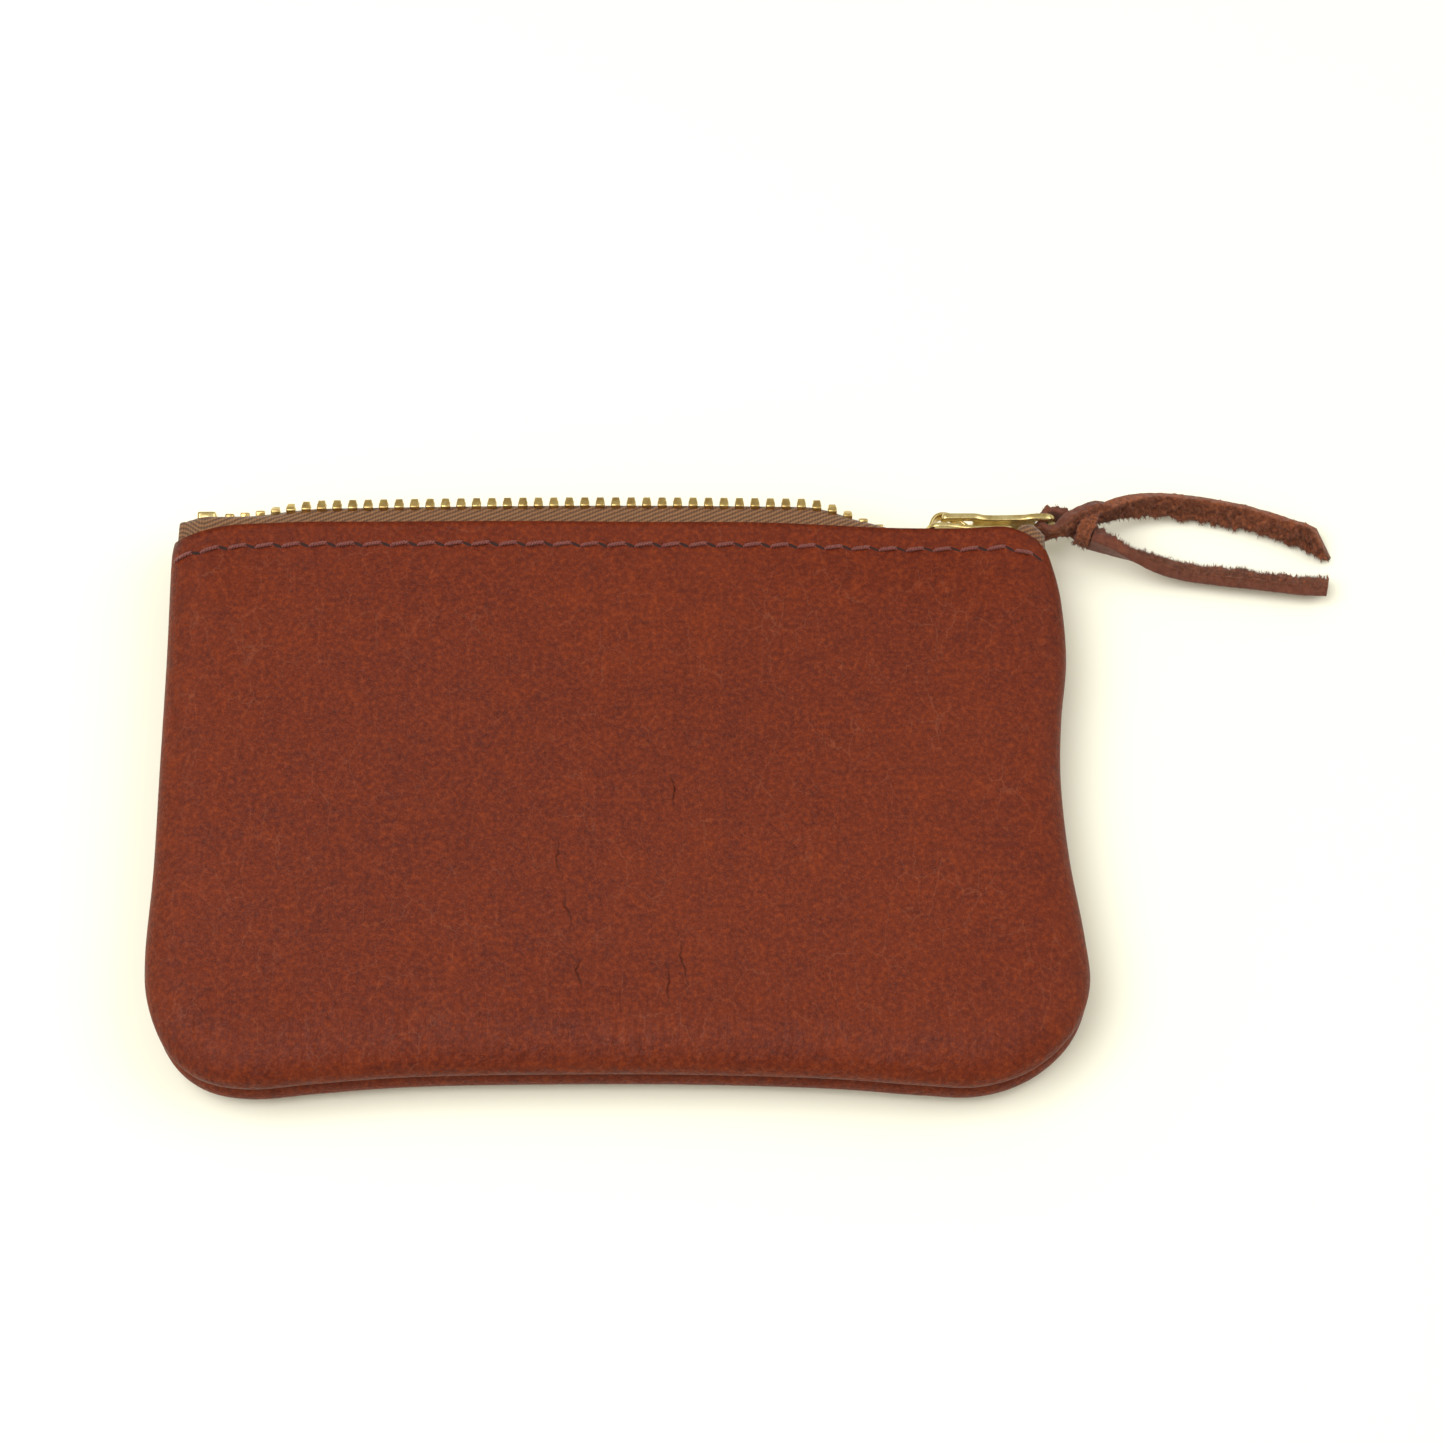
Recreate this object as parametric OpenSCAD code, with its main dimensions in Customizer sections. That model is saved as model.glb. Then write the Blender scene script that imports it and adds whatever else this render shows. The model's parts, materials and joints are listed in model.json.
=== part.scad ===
// Zippered pouch: two leather panels sewn face to face and turned, with a metal zip in the mouth.
// It lies on its back panel: X across the width, Y towards the mouth, Z up.
// The origin is the middle of the box on the surface that the pouch lies on, without the thong.

/* [Pouch] */
// Width over the rolled side edges
pouch_w = 137; // [110:1:180]
// Height of the leather, from the bottom roll to the mouth edge
pouch_h = 89; // [70:1:120]
// Thickness over both panels
pouch_t = 12; // [11:0.5:16]
// Thickness of the leather
leather_t = 1.2; // [0.9:0.1:1.4]
// Radius of the two bottom corners, seen from above
corner_r = 17; // [14:1:24]
// Width of the seam allowance turned inside
seam_w = 5; // [4:0.5:7]

/* [Stitching] */
// Length of one stitch, hole to hole
stitch_pitch = 4.15; // [3:0.05:6]
// Thickness of the sewing thread
thread_d = 0.6; // [0.4:0.05:0.8]
// Distance from the mouth edge to the line of stitches
stitch_inset = 4; // [3:0.5:6]
// Distance from the outer edge to the inside seam
seam_inset = 2.6; // [2.2:0.1:3.2]

/* [Zip] */
// Width of each tape below the fold
tape_w = 9; // [7:0.5:12]
// Thickness of the tape
tape_t = 0.4; // [0.3:0.05:0.5]
// Distance between neighbouring teeth of one row
tooth_pitch = 2.37; // [2.3:0.01:3]
// Width of one tooth along the row
tooth_w = 1.1; // [0.9:0.01:1.12]
// Length of one tooth, from its legs to its tip
tooth_l = 2.4; // [2.2:0.1:2.6]
// Thickness of one tooth through the chain
tooth_t = 2.2; // [1.8:0.1:2.6]
// Depth of the tape edge inside a tooth
clamp_d = 1; // [0.8:0.1:1.2]
// Height of the open row's tape edge above the mouth edge of the leather
row_rise = 2.9; // [2.4:0.1:3.6]
// Depth of the closed chain below the mouth edge of the leather
chain_drop = 1.1; // [0.6:0.1:1.4]
// Length of each stop
stop_l = 2.8; // [2:0.1:3.5]

/* [Slider] */
// Length of the slider
slider_l = 13.5; // [11:0.5:15]
// Width of the slider at its nose
nose_w = 8; // [7.6:0.1:8.2]
// Width of the slider at its tail
tail_w = 5.8; // [5.6:0.1:6.4]
// Thickness of each slider plate
plate_t = 0.8; // [0.7:0.05:1]
// Height of the lips that hold the chain in
lip_h = 0.7; // [0.5:0.05:0.8]
// Clearance round the chain inside the slider
chain_gap = 0.2; // [0.15:0.05:0.3]
// Outer height of the bail over the top plate
bail_h = 3.4; // [3.2:0.1:3.8]
// Length of the bail along the slider
bail_l = 8.2; // [7.6:0.1:9]
// Width of the bail
bail_w = 2.2; // [1.8:0.1:2.6]
// Thickness of the bail's metal
bail_t = 0.55; // [0.45:0.05:0.6]

/* [Pull] */
// Length of the pull tab, from its pivot to its far end
tab_l = 17.1; // [15:0.1:19]
// Width of the pull tab
tab_w = 4.6; // [4.4:0.1:5]
// Thickness of the pull tab
tab_t = 1; // [0.8:0.05:1.1]
// Width of the eye at the far end
eye_w = 2.8; // [2.6:0.1:3]
// Length of the eye along the tab
eye_l = 1.7; // [1.6:0.1:2]
// Metal left beyond the eye
eye_rim = 1.4; // [1.2:0.1:1.5]
// Width of the thong
thong_w = 3.5; // [3:0.1:4]
// Thickness of the thong
thong_t = 1.6; // [1.2:0.1:1.8]
// Width of the thong where it is squeezed through the eye
loop_w = 2.2; // [1.8:0.1:2.4]
// Thickness of the thong where it is squeezed through the eye
loop_t = 1.3; // [1.1:0.05:1.35]
// Length of the knot
knot_l = 4.6; // [4:0.1:5.5]
// Thickness of the knot
knot_d = 5; // [4:0.1:5.4]

/* [Hidden] */
$fn = 48;

leather = [0.47, 0.21, 0.13];
thread_brown = [0.36, 0.13, 0.1];
tape_brown = [0.5, 0.35, 0.25];
brass = [0.8, 0.66, 0.36];
suede = [0.5, 0.27, 0.17];

// The pouch: mid is the height of the seam between the panels, and the edges roll over half the thickness
mid = pouch_t / 2;
roll_r = pouch_t / 2;
inner_r = roll_r - leather_t;
side_x = pouch_w / 2 - roll_r;
inner_gap = 2 * chain_gap + tooth_t;
zip_proud = inner_gap / 2 + plate_t + bail_h - chain_drop;
bottom_y = -(pouch_h + zip_proud) / 2;
mouth_y = bottom_y + pouch_h;
seam_end = 13;

// The zip: the tapes stand upright along the open mouth and fold over to meet in the slider
tape_gap = 0.2;
tape_out = inner_r - tape_gap - tape_t / 2;
tape_end = pouch_w / 2 - 3;
fold_y = 0.6;
clamp_slack = 0.05;
chain_y = mouth_y - chain_drop;
lean = 8;
overlap = 0.4;
slider_end = 4.4;
slider_x0 = tape_end - slider_end - slider_l;
nose_spread = 0.9;
nose_c = tooth_l + nose_spread;
tail_c = tooth_l - overlap;
narrow = 0.6 * slider_l;
right_fold_l = 19;
left_fold_l = 21;
left_flat_l = 5;
left_fold = 0.8;
left_sink = 0.25;
open_right = slider_x0 - right_fold_l;
open_left = -tape_end + left_fold_l;
stop_in = 1.4;
stop_to_teeth = 0.9;
teeth_to_end = 1.2;
stop_x = -tape_end + stop_in;
teeth_x0 = stop_x + stop_l + stop_to_teeth + tooth_pitch / 2;
teeth_n = floor((slider_x0 + slider_l - teeth_to_end - teeth_x0) / tooth_pitch) + 1;
stop_gap = 0.3;
stop_extra = 0.3;

// The slider, measured along it from its nose
bail_in = 0.3;
bail_x0 = slider_x0 + bail_in;
cross_r = 0.55;
cross_gap = 0.3;
pivot_rise = bail_h - bail_t - cross_r - cross_gap;
pivot_x = bail_x0 + 0.33 * bail_l;
top_plate_y = chain_y + inner_gap / 2 + plate_t;
pivot_y = top_plate_y + pivot_rise;
side_gap = 0.2;
window_l = bail_l / 2 + 0.3;
diamond_l = 4.3;

// The thong's loop turns round the rim beyond the tab's eye
rim_x = pivot_x + tab_l - eye_rim / 2;
loop_gap = 0.04;
loop_r = norm([eye_rim / 2, tab_t / 2]) + loop_gap;
knot_offset = 2;
knot_x = rim_x + knot_offset;
knot_drop = 1;
knot_y = pivot_y - knot_drop;
end_x = knot_x + knot_l;
part_y = 2;
tail_in = 0.6;

// Routes of the two tails, from the knot to the cut ends
upper_route = [
    [0, 0, 0], [3, 1.4, -0.5], [6.5, 2.8, -1.5], [11, 3.8, -2.9], [15, 4, -3.8],
    [20, 3.3, -4], [25, 2.1, -4], [30, 0.4, -4], [34.5, -1.5, -4], [38.3, -3.7, -4]];
lower_route = [
    [0, 0, 0], [3, -0.8, -0.6], [6.5, -1.8, -1.7], [11, -2.9, -3], [15, -3.6, -3.8],
    [20, -4.3, -4], [25, -4.9, -4], [30, -5.6, -4], [34, -6, -4], [37.2, -6.1, -4]];
upper_tilt = 125;
lower_tilt = 40;

function mix(a, b, t) = a + (b - a) * t;
function clamp01(t) = min(1, max(0, t));
function ease(t) = let(s = clamp01(t)) s * s * (3 - 2 * s);

// How far the tape has folded over at x: 0 upright, 1 level
function fold(x) = max(
    ease((x - open_right) / (slider_x0 - 1 - open_right)),
    left_fold * ease((open_left - x) / (left_fold_l - left_flat_l)));
// Outer end of the closed row's teeth, from the middle of the chain
function row_c(x) = mix(nose_c, tail_c, clamp01((x - slider_x0) / narrow));
function angle_at(x) = mix(lean, 90, fold(x));
function edge_y(x) = mix(mouth_y + row_rise, chain_y, fold(x) * (x > 0 ? 1 : left_sink));
function edge_w(x) = mix(tape_out - 0.3, row_c(x) - clamp_d, fold(x));
// Room inside the rolled edge at x
function room(x) = let(out = max(0, abs(x) - side_x))
    min(tape_out, sqrt(max(1, pow(inner_r - 2 * tape_gap, 2) - out * out)));
function bend_y(x) = mix(mouth_y + fold_y, edge_y(x), fold(x));

// The tape's cross-section at x, as [y, distance from the middle]: bottom edge, fold, tooth edge
function tape_line(x) = [
    [mouth_y - tape_w, room(x)],
    [bend_y(x), room(x)],
    [edge_y(x), edge_w(x)]];
function unit(v) = v / norm(v);
function normal(a, b) = let(d = unit(b - a)) [-d[1], d[0]];
function tape_section(x) = let(
    p = tape_line(x), n0 = normal(p[0], p[1]), n1 = normal(p[1], p[2]),
    m = (n0 + n1) / (1 + n0 * n1), h = tape_t / 2)
    [p[0] + h * n0, p[1] + h * m, p[2] + h * n1, p[2] - h * n1, p[1] - h * m, p[0] - h * n0];

// A row's pieces are drawn for the front, and mirrored for the back
module for_back() {
    translate([0, 0, 2 * mid]) mirror([0, 0, 1]) children();
}

module edge_ring() {
    intersection() {
        translate([-roll_r, 0]) difference() {
            circle(r = roll_r);
            circle(r = inner_r);
        }
        translate([-roll_r, 0]) square(roll_r);
    }
}

module edge_flange() {
    translate([-seam_w, 0]) square([seam_w - leather_t / 2, leather_t]);
}

module edge_section() {
    edge_ring();
    edge_flange();
}

// The panel's edge sections are drawn with the outer edge at x = 0, and run down the sides and round the corners
module side_run() {
    translate([pouch_w / 2, mouth_y, mid]) rotate([90, 0, 0])
        linear_extrude(pouch_h - corner_r) edge_ring();
    translate([pouch_w / 2, mouth_y - seam_end, mid]) rotate([90, 0, 0])
        linear_extrude(pouch_h - corner_r - seam_end) edge_flange();
}

module corner_run() {
    translate([pouch_w / 2 - corner_r, bottom_y + corner_r, mid]) rotate([0, 0, -90])
        rotate_extrude(angle = 90) translate([corner_r, 0]) edge_section();
}

module bottom_run() {
    translate([-pouch_w / 2 + corner_r, bottom_y, mid]) rotate([90, 0, 90])
        linear_extrude(pouch_w - 2 * corner_r) mirror([1, 0]) edge_section();
}

module flat_outline() {
    flat_r = corner_r - roll_r;
    corner_y = bottom_y + corner_r;
    translate([-side_x, corner_y]) square([2 * side_x, mouth_y - corner_y]);
    translate([-side_x + flat_r, corner_y - flat_r]) square([2 * (side_x - flat_r), flat_r + 1]);
    for (s = [-1, 1]) translate([s * (side_x - flat_r), corner_y]) circle(r = flat_r);
}

module panel() {
    translate([0, 0, pouch_t - leather_t]) linear_extrude(leather_t) flat_outline();
    bottom_run();
    for (m = [0, 1]) mirror([m, 0, 0]) {
        side_run();
        corner_run();
    }
}

module front_panel() { color(leather) panel(); }
module back_panel() { color(leather) for_back() panel(); }

// One stitch of the inside seam lies on both seam allowances, with one leg through them
module seam_stitch() {
    bar = stitch_pitch * 0.6;
    for (z = [leather_t, -leather_t - thread_d])
        translate([-bar / 2, -thread_d / 2, z]) cube([bar, thread_d, thread_d]);
    translate([bar / 2 - thread_d, 0, -leather_t - thread_d / 2])
        cylinder(d = thread_d, h = 2 * leather_t + thread_d, $fn = 16);
}

module seam_row(length) {
    n = floor(length / stitch_pitch);
    for (i = [0 : n - 1]) translate([(i + 0.5) * length / n, 0, 0]) seam_stitch();
}

module seam_thread() {
    turn_r = corner_r - seam_inset;
    turn_n = round(turn_r * PI / 2 / stitch_pitch);
    side = pouch_h - corner_r - seam_end;
    color(thread_brown) translate([0, 0, mid]) {
        translate([-pouch_w / 2 + corner_r, bottom_y + seam_inset, 0]) seam_row(pouch_w - 2 * corner_r);
        for (m = [0, 1]) mirror([m, 0, 0]) {
            translate([pouch_w / 2 - seam_inset, bottom_y + corner_r, 0]) rotate([0, 0, 90]) seam_row(side);
            translate([pouch_w / 2 - corner_r, bottom_y + corner_r, 0])
                for (i = [0 : turn_n - 1]) rotate([0, 0, -90 + (i + 0.5) * 90 / turn_n])
                    translate([turn_r, 0, 0]) rotate([0, 0, 90]) seam_stitch();
        }
    }
}

// The line of stitches along the mouth holds the tape: its top lies flush in the leather
module topstitch() {
    bar = stitch_pitch * 0.64;
    span = 2 * side_x;
    n = floor(span / stitch_pitch);
    deep = leather_t + tape_gap + tape_t;
    for (i = [0 : n - 1]) translate([(i + 0.5) * span / n - side_x, mouth_y - stitch_inset, pouch_t]) {
        translate([0, 0, -thread_d / 2]) rotate([0, 0, 12])
            cube([bar, thread_d, thread_d], center = true);
        translate([bar / 2 - thread_d / 2, 0, -deep]) cylinder(d = thread_d, h = deep - thread_d / 2, $fn = 16);
    }
}

module front_topstitch() { color(thread_brown) topstitch(); }
module back_topstitch() { color(thread_brown) for_back() topstitch(); }

// The tape is one thin sheet, drawn from its cross-sections along the mouth
module tape() {
    n = 44;
    xs = [for (i = [0 : n]) mix(-tape_end, tape_end, i / n)];
    points = [for (x = xs) for (q = tape_section(x)) [x, q[0], mid + q[1]]];
    sides = [for (i = [0 : n - 1]) for (k = [0 : 5])
        let(a = 6 * i + k, b = 6 * i + (k + 1) % 6) each [[a, b, b + 6], [a, b + 6, a + 6]]];
    near_end = [[4, 1, 0], [5, 4, 0], [3, 2, 1], [4, 3, 1]];
    far_end = [for (f = near_end) [for (k = [2, 1, 0]) f[k] + 6 * n]];
    polyhedron(points = points, faces = concat(sides, near_end, far_end), convexity = 6);
}

module front_tape() { color(tape_brown) tape(); }
module back_tape() { color(tape_brown) for_back() tape(); }

// Places a clamped piece at x on the tape's edge, with its tip along +Y
module on_edge(x) {
    translate([x, edge_y(x), mid + edge_w(x)]) rotate([-angle_at(x), 0, 0]) children();
}

// A piece of this width, length and thickness, slotted for the tape
module clamped(w, l, t) {
    difference() {
        translate([-w / 2, -clamp_d, -t / 2]) cube([w, l, t]);
        translate([-w / 2 - 1, -clamp_d - 1, -tape_t / 2 - clamp_slack])
            cube([w + 2, clamp_d + 1, tape_t + 2 * clamp_slack]);
    }
}

module teeth(shift) {
    for (i = [0 : teeth_n - 1]) {
        x = teeth_x0 + i * tooth_pitch + shift;
        on_edge(x) clamped(tooth_w, tooth_l, tooth_t);
    }
}

module front_teeth() { color(brass) teeth(0); }
module back_teeth() { color(brass) for_back() teeth(-tooth_pitch / 2); }

module top_stop() {
    on_edge(stop_x + stop_l / 2) clamped(stop_l, clamp_d + 1, tooth_t + stop_extra);
}

module front_top_stop() { color(brass) top_stop(); }
module back_top_stop() { color(brass) for_back() top_stop(); }

// The bottom stop clamps both tape edges behind the slider
module bottom_stop() {
    color(brass) difference() {
        translate([slider_x0 + slider_l + stop_gap, chain_y - tooth_t / 2, mid - tail_c])
            cube([stop_l, tooth_t, 2 * tail_c]);
        for (s = [0, 1]) translate([0, 0, s * 2 * mid]) mirror([0, 0, s])
            translate([slider_x0 + slider_l, chain_y - tape_t / 2 - clamp_slack, mid + tail_c - clamp_d - clamp_slack])
                cube([stop_l + 2, tape_t + 2 * clamp_slack, clamp_d + 2]);
    }
}

// The slider's outline from above its plates, as half widths along its length
module slider_outline() {
    nose = nose_w / 2;
    tail = tail_w / 2;
    half = [[0, nose - 0.9], [0.5, nose - 0.25], [1.3, nose], [narrow * 0.45, nose - 0.25],
        [narrow, tail], [slider_l - 0.6, tail], [slider_l, tail - 0.5]];
    back = [for (i = [len(half) - 1 : -1 : 0]) [half[i][0], -half[i][1]]];
    polygon(concat(half, back));
}

// The channel follows the teeth through the slider
module channel() {
    nose = nose_c + chain_gap;
    tail = tail_c + chain_gap;
    polygon([[-1, nose], [0, nose], [narrow, tail], [slider_l + 1, tail],
        [slider_l + 1, -tail], [narrow, -tail], [0, -nose], [-1, -nose]]);
}

module slab(height) {
    translate([slider_x0, chain_y, mid]) rotate([90, 0, 0])
        translate([0, 0, -height / 2]) linear_extrude(height) children();
}

module slider_body() {
    slot = inner_gap - 2 * lip_h;
    color(brass) {
        difference() {
            slab(inner_gap + 2 * plate_t) slider_outline();
            slab(inner_gap) channel();
            slab(slot) translate([-1, -nose_w]) square([slider_l + 2, 2 * nose_w]);
        }
        slab(inner_gap + plate_t) polygon([[0.1, 0.7], [diamond_l, 0.05], [diamond_l, -0.05], [0.1, -0.7]]);
    }
}

// The bail is a strap over the top plate, steep at the nose and falling away to the tail
module slider_bail() {
    bend = [[0, 0], [0.02, 0.45], [0.07, 0.78], [0.17, 0.97], [0.29, 1], [0.42, 0.94], [0.55, 0.76],
        [0.67, 0.55], [0.82, 0.28], [1, 0.1], [1, 0]];
    inner_l = bail_l - 2.6 * bail_t;
    color(brass) translate([bail_x0, top_plate_y, mid - bail_w / 2]) linear_extrude(bail_w)
        difference() {
            polygon([for (p = bend) [p[0] * bail_l, p[1] * bail_h]]);
            translate([1.1 * bail_t, -0.01]) polygon([for (p = bend) [p[0] * inner_l, p[1] * (bail_h - bail_t)]]);
        }
}

// The pull tab hangs on the bail by a round crossbar, with the bail standing in its window
module pull_tab() {
    window_w = bail_w + 2 * side_gap;
    color(brass) translate([pivot_x, pivot_y, mid]) {
        translate([0, 0, -tab_w / 2]) cylinder(r = cross_r, h = tab_w);
        difference() {
            translate([0, -tab_t / 2, -tab_w / 2]) cube([tab_l, tab_t, tab_w]);
            translate([-1, -tab_t, -window_w / 2]) cube([1 + window_l, 2 * tab_t, window_w]);
            translate([tab_l - eye_rim - eye_l, -tab_t, -eye_w / 2]) cube([eye_l, 2 * tab_t, eye_w]);
        }
    }
}

// The thong's loop is a ring round the eye's rim, and the knot is a barrel beyond it
module thong_knot() {
    barrel = [[0, 0], [0, knot_d * 0.34], [knot_l * 0.25, knot_d / 2], [knot_l * 0.7, knot_d / 2],
        [knot_l, knot_d * 0.36], [knot_l, 0]];
    color(suede) {
        translate([rim_x, pivot_y, mid - loop_w / 2]) difference() {
            cylinder(r = loop_r + loop_t, h = loop_w);
            translate([0, 0, -1]) cylinder(r = loop_r, h = loop_w + 2);
        }
        translate([knot_x, knot_y, mid]) rotate([0, 90, 0])
            rotate_extrude() polygon([for (p = barrel) [p[1], p[0]]]);
    }
}

// A tail is a flat strip swept along its route, turned about its length by the tilt
function strip_half(w, t) = [[w / 2, t / 4], [w / 4, t / 2], [-w / 4, t / 2], [-w / 2, t / 4]];
function strip_section(w, t) = concat(strip_half(w, t), -strip_half(w, t));
function along(route, i) = unit(route[min(i + 1, len(route) - 1)] - route[max(i - 1, 0)]);

module tail(route, start, tilt) {
    shape = strip_section(thong_w, thong_t);
    n = len(route);
    points = [for (i = [0 : n - 1]) let(
        d = along(route, i), side = unit(cross(d, [0, 0, 1])), up = cross(side, d),
        wide = side * cos(tilt) + up * sin(tilt), thick = cross(d, wide))
        for (q = shape) start + route[i] + q[0] * wide + q[1] * thick];
    sides = [for (i = [0 : n - 2]) for (k = [0 : 7])
        let(a = 8 * i + k, b = 8 * i + (k + 1) % 8) each [[a, b + 8, b], [a, a + 8, b + 8]]];
    ends = [[for (k = [0 : 7]) k], [for (k = [7 : -1 : 0]) 8 * (n - 1) + k]];
    polyhedron(points = points, faces = concat(sides, ends), convexity = 4);
}

module thong_upper_tail() {
    color(suede) tail(upper_route, [end_x - tail_in, knot_y + part_y, mid], upper_tilt);
}

module thong_lower_tail() {
    color(suede) tail(lower_route, [end_x - tail_in, knot_y - part_y, mid], lower_tilt);
}

front_panel();
back_panel();
seam_thread();
front_topstitch();
back_topstitch();
front_tape();
back_tape();
front_teeth();
back_teeth();
front_top_stop();
back_top_stop();
bottom_stop();
slider_body();
slider_bail();
pull_tab();
thong_knot();
thong_upper_tail();
thong_lower_tail();
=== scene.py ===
# %% [markdown]
# # A leather zippered pouch
# The pouch is two leather panels, sewn grain to grain round three sides and turned, with a brass
# zip in the fourth. It lies on its back. The mechanical frame is already made and never changes here:
# this lesson gives it real leather, tape, thread, brass and a suede thong.

# %% Load the frame
import json
import math
import bpy
import numpy as np
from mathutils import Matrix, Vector


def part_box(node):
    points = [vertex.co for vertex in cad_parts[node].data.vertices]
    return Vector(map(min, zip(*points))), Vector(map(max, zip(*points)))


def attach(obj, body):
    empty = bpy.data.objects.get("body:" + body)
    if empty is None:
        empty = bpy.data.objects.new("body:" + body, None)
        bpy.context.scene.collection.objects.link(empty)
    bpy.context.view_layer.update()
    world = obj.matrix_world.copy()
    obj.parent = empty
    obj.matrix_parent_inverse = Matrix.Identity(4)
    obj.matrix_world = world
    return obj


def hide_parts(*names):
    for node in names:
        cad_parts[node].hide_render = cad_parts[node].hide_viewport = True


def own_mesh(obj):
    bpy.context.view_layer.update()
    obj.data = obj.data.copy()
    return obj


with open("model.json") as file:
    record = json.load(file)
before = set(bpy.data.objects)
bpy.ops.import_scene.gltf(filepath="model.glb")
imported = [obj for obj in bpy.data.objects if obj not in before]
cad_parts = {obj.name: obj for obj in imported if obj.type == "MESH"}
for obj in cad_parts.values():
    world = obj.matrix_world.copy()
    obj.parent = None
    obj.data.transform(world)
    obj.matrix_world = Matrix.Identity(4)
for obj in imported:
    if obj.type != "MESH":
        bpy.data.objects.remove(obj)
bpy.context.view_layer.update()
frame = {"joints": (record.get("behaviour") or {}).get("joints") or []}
MM = 0.001

# %% [markdown]
# Sizes come from the frame's own boxes, so a piece always lands where the frame says. Everything below
# is worked out in millimetres, and turned to metres when a mesh is made.

# %% Sizes from the frame
def corners(node):
    low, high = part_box(node)
    return np.array(low) / MM, np.array(high) / MM


panel_low, panel_high = corners("front_panel")
tape_high = corners("front_tape")[1]
slider_low, slider_high = corners("slider_body")
bail_low, bail_high = corners("slider_bail")
tab_low, tab_high = corners("pull_tab")
stop_low, stop_high = corners("front_top_stop")
end_low, end_high = corners("bottom_stop")
teeth_low, teeth_high = corners("front_teeth")

MID = panel_low[2]
TOP = panel_high[2]
MOUTH = panel_high[1]
BOTTOM = panel_low[1]
SIDE = panel_high[0]
CHAIN = (end_low[1] + end_high[1]) / 2
LEATHER = 1.2
print("leather", SIDE * 2, "wide,", round(MOUTH - BOTTOM, 1), "high, seam at", MID)


# %% [markdown]
# A few helpers. One turns points and faces into an object, one makes a smooth line through a few
# given points, and one sweeps a small outline along a line. The sweep is how thread, tape, straps
# and the thong are made: they are all long things with a constant section.
# and the thong are made: they are all long things with a constant section.

# %% Mesh helpers
def placed(name, data):
    """An object made from mesh, light, curve or camera data, put in the scene."""
    made = bpy.data.objects.new(name, data)
    bpy.context.scene.collection.objects.link(made)
    return made


def unit(vectors):
    return vectors / np.linalg.norm(vectors, axis=-1, keepdims=True)


def heading(line):
    """The direction of a line at each of its points."""
    return unit(np.gradient(line, axis=0))


def run_along(line):
    """How far each point is along its line."""
    return np.r_[0, np.cumsum(np.linalg.norm(np.diff(line, axis=0), axis=1))]


def make_object(name, points, faces, body, materials, smooth=True):
    mesh = bpy.data.meshes.new(name)
    mesh.from_pydata([tuple(float(c) * MM for c in p) for p in points], [], faces)
    mesh.validate()
    piece = placed(name, mesh)
    for material in materials:
        mesh.materials.append(material)
    if smooth:
        mesh.polygons.foreach_set("use_smooth", [True] * len(mesh.polygons))
    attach(piece, body)
    print(name, len(points), "points")
    return piece


def smooth_line(points, steps):
    """A Catmull-Rom curve through the points, then evenly spaced along its length."""
    p = np.array(points, float)
    p = np.vstack([2 * p[0] - p[1], p, 2 * p[-1] - p[-2]])
    t = np.linspace(0, 1, 24, endpoint=False)[:, None]
    fine = []
    for a, b, c, d in zip(p, p[1:], p[2:], p[3:]):
        fine.append(0.5 * (2 * b + (c - a) * t + (2 * a - 5 * b + 4 * c - d) * t**2
                           + (3 * b - a - 3 * c + d) * t**3))
    fine = np.vstack(fine + [p[-2:-1]])
    return spaced(fine, np.linspace(0, 1, steps))


def spaced(line, shares):
    """Points on a line at these shares of its length."""
    run = run_along(line)
    return np.column_stack([np.interp(shares * run[-1], run, line[:, k]) for k in range(line.shape[1])])


def length_of(line):
    return float(np.linalg.norm(np.diff(np.array(line, float), axis=0), axis=1).sum())


def sections(line, up, outline, scale=None):
    """The points of an outline carried along a line. up is the outline's first axis at each point."""
    line = np.array(line, float)
    ahead = heading(line)
    wide = np.broadcast_to(np.array(up, float), line.shape)
    wide = unit(wide - (wide * ahead).sum(1)[:, None] * ahead)
    thick = np.cross(ahead, wide)
    scale = np.ones(len(line)) if scale is None else np.array(scale, float)
    shape = np.array(outline, float)
    return (line[:, None] + scale[:, None, None] * (
        shape[None, :, :1] * wide[:, None] + shape[None, :, 1:] * thick[:, None])).reshape(-1, 3)


def tube_faces(rings, sides, start=0, closed=False):
    faces = []
    for i in range(rings if closed else rings - 1):
        for k in range(sides):
            a, b = i * sides + k, i * sides + (k + 1) % sides
            j = ((i + 1) % rings - i) * sides
            faces.append((start + a, start + b, start + b + j, start + a + j))
    if not closed:
        faces.append(tuple(start + k for k in range(sides - 1, -1, -1)))
        faces.append(tuple(start + (rings - 1) * sides + k for k in range(sides)))
    return faces


def circle(radius, sides):
    return [(radius * math.cos(2 * math.pi * k / sides), radius * math.sin(2 * math.pi * k / sides))
            for k in range(sides)]


def rounded_bar(width, thickness, radius, steps=3):
    """A rectangle with rounded corners, as outline points."""
    out = []
    for cx, cy, first in ((1, 1, 0), (-1, 1, 90), (-1, -1, 180), (1, -1, 270)):
        for k in range(steps + 1):
            a = math.radians(first + 90 * k / steps)
            out.append((cx * (width / 2 - radius) + radius * math.cos(a),
                        cy * (thickness / 2 - radius) + radius * math.sin(a)))
    return out


def joined(parts):
    """Several (points, faces) as one."""
    points, faces = [], []
    for own_points, own_faces in parts:
        start = sum(len(p) for p in points)
        points.append(own_points)
        faces += [tuple(start + k for k in face) for face in own_faces]
    return np.vstack(points), faces


def mirrored(points):
    """The same points on the back: the height turned over about the seam."""
    out = np.array(points, float)
    out[:, 2] = 2 * MID - out[:, 2]
    return out


def turned_over(points, faces):
    """A piece of the front, as its twin on the back."""
    return mirrored(points), [face[::-1] for face in faces]


def mix(a, b, t):
    return a + (b - a) * t


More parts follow.
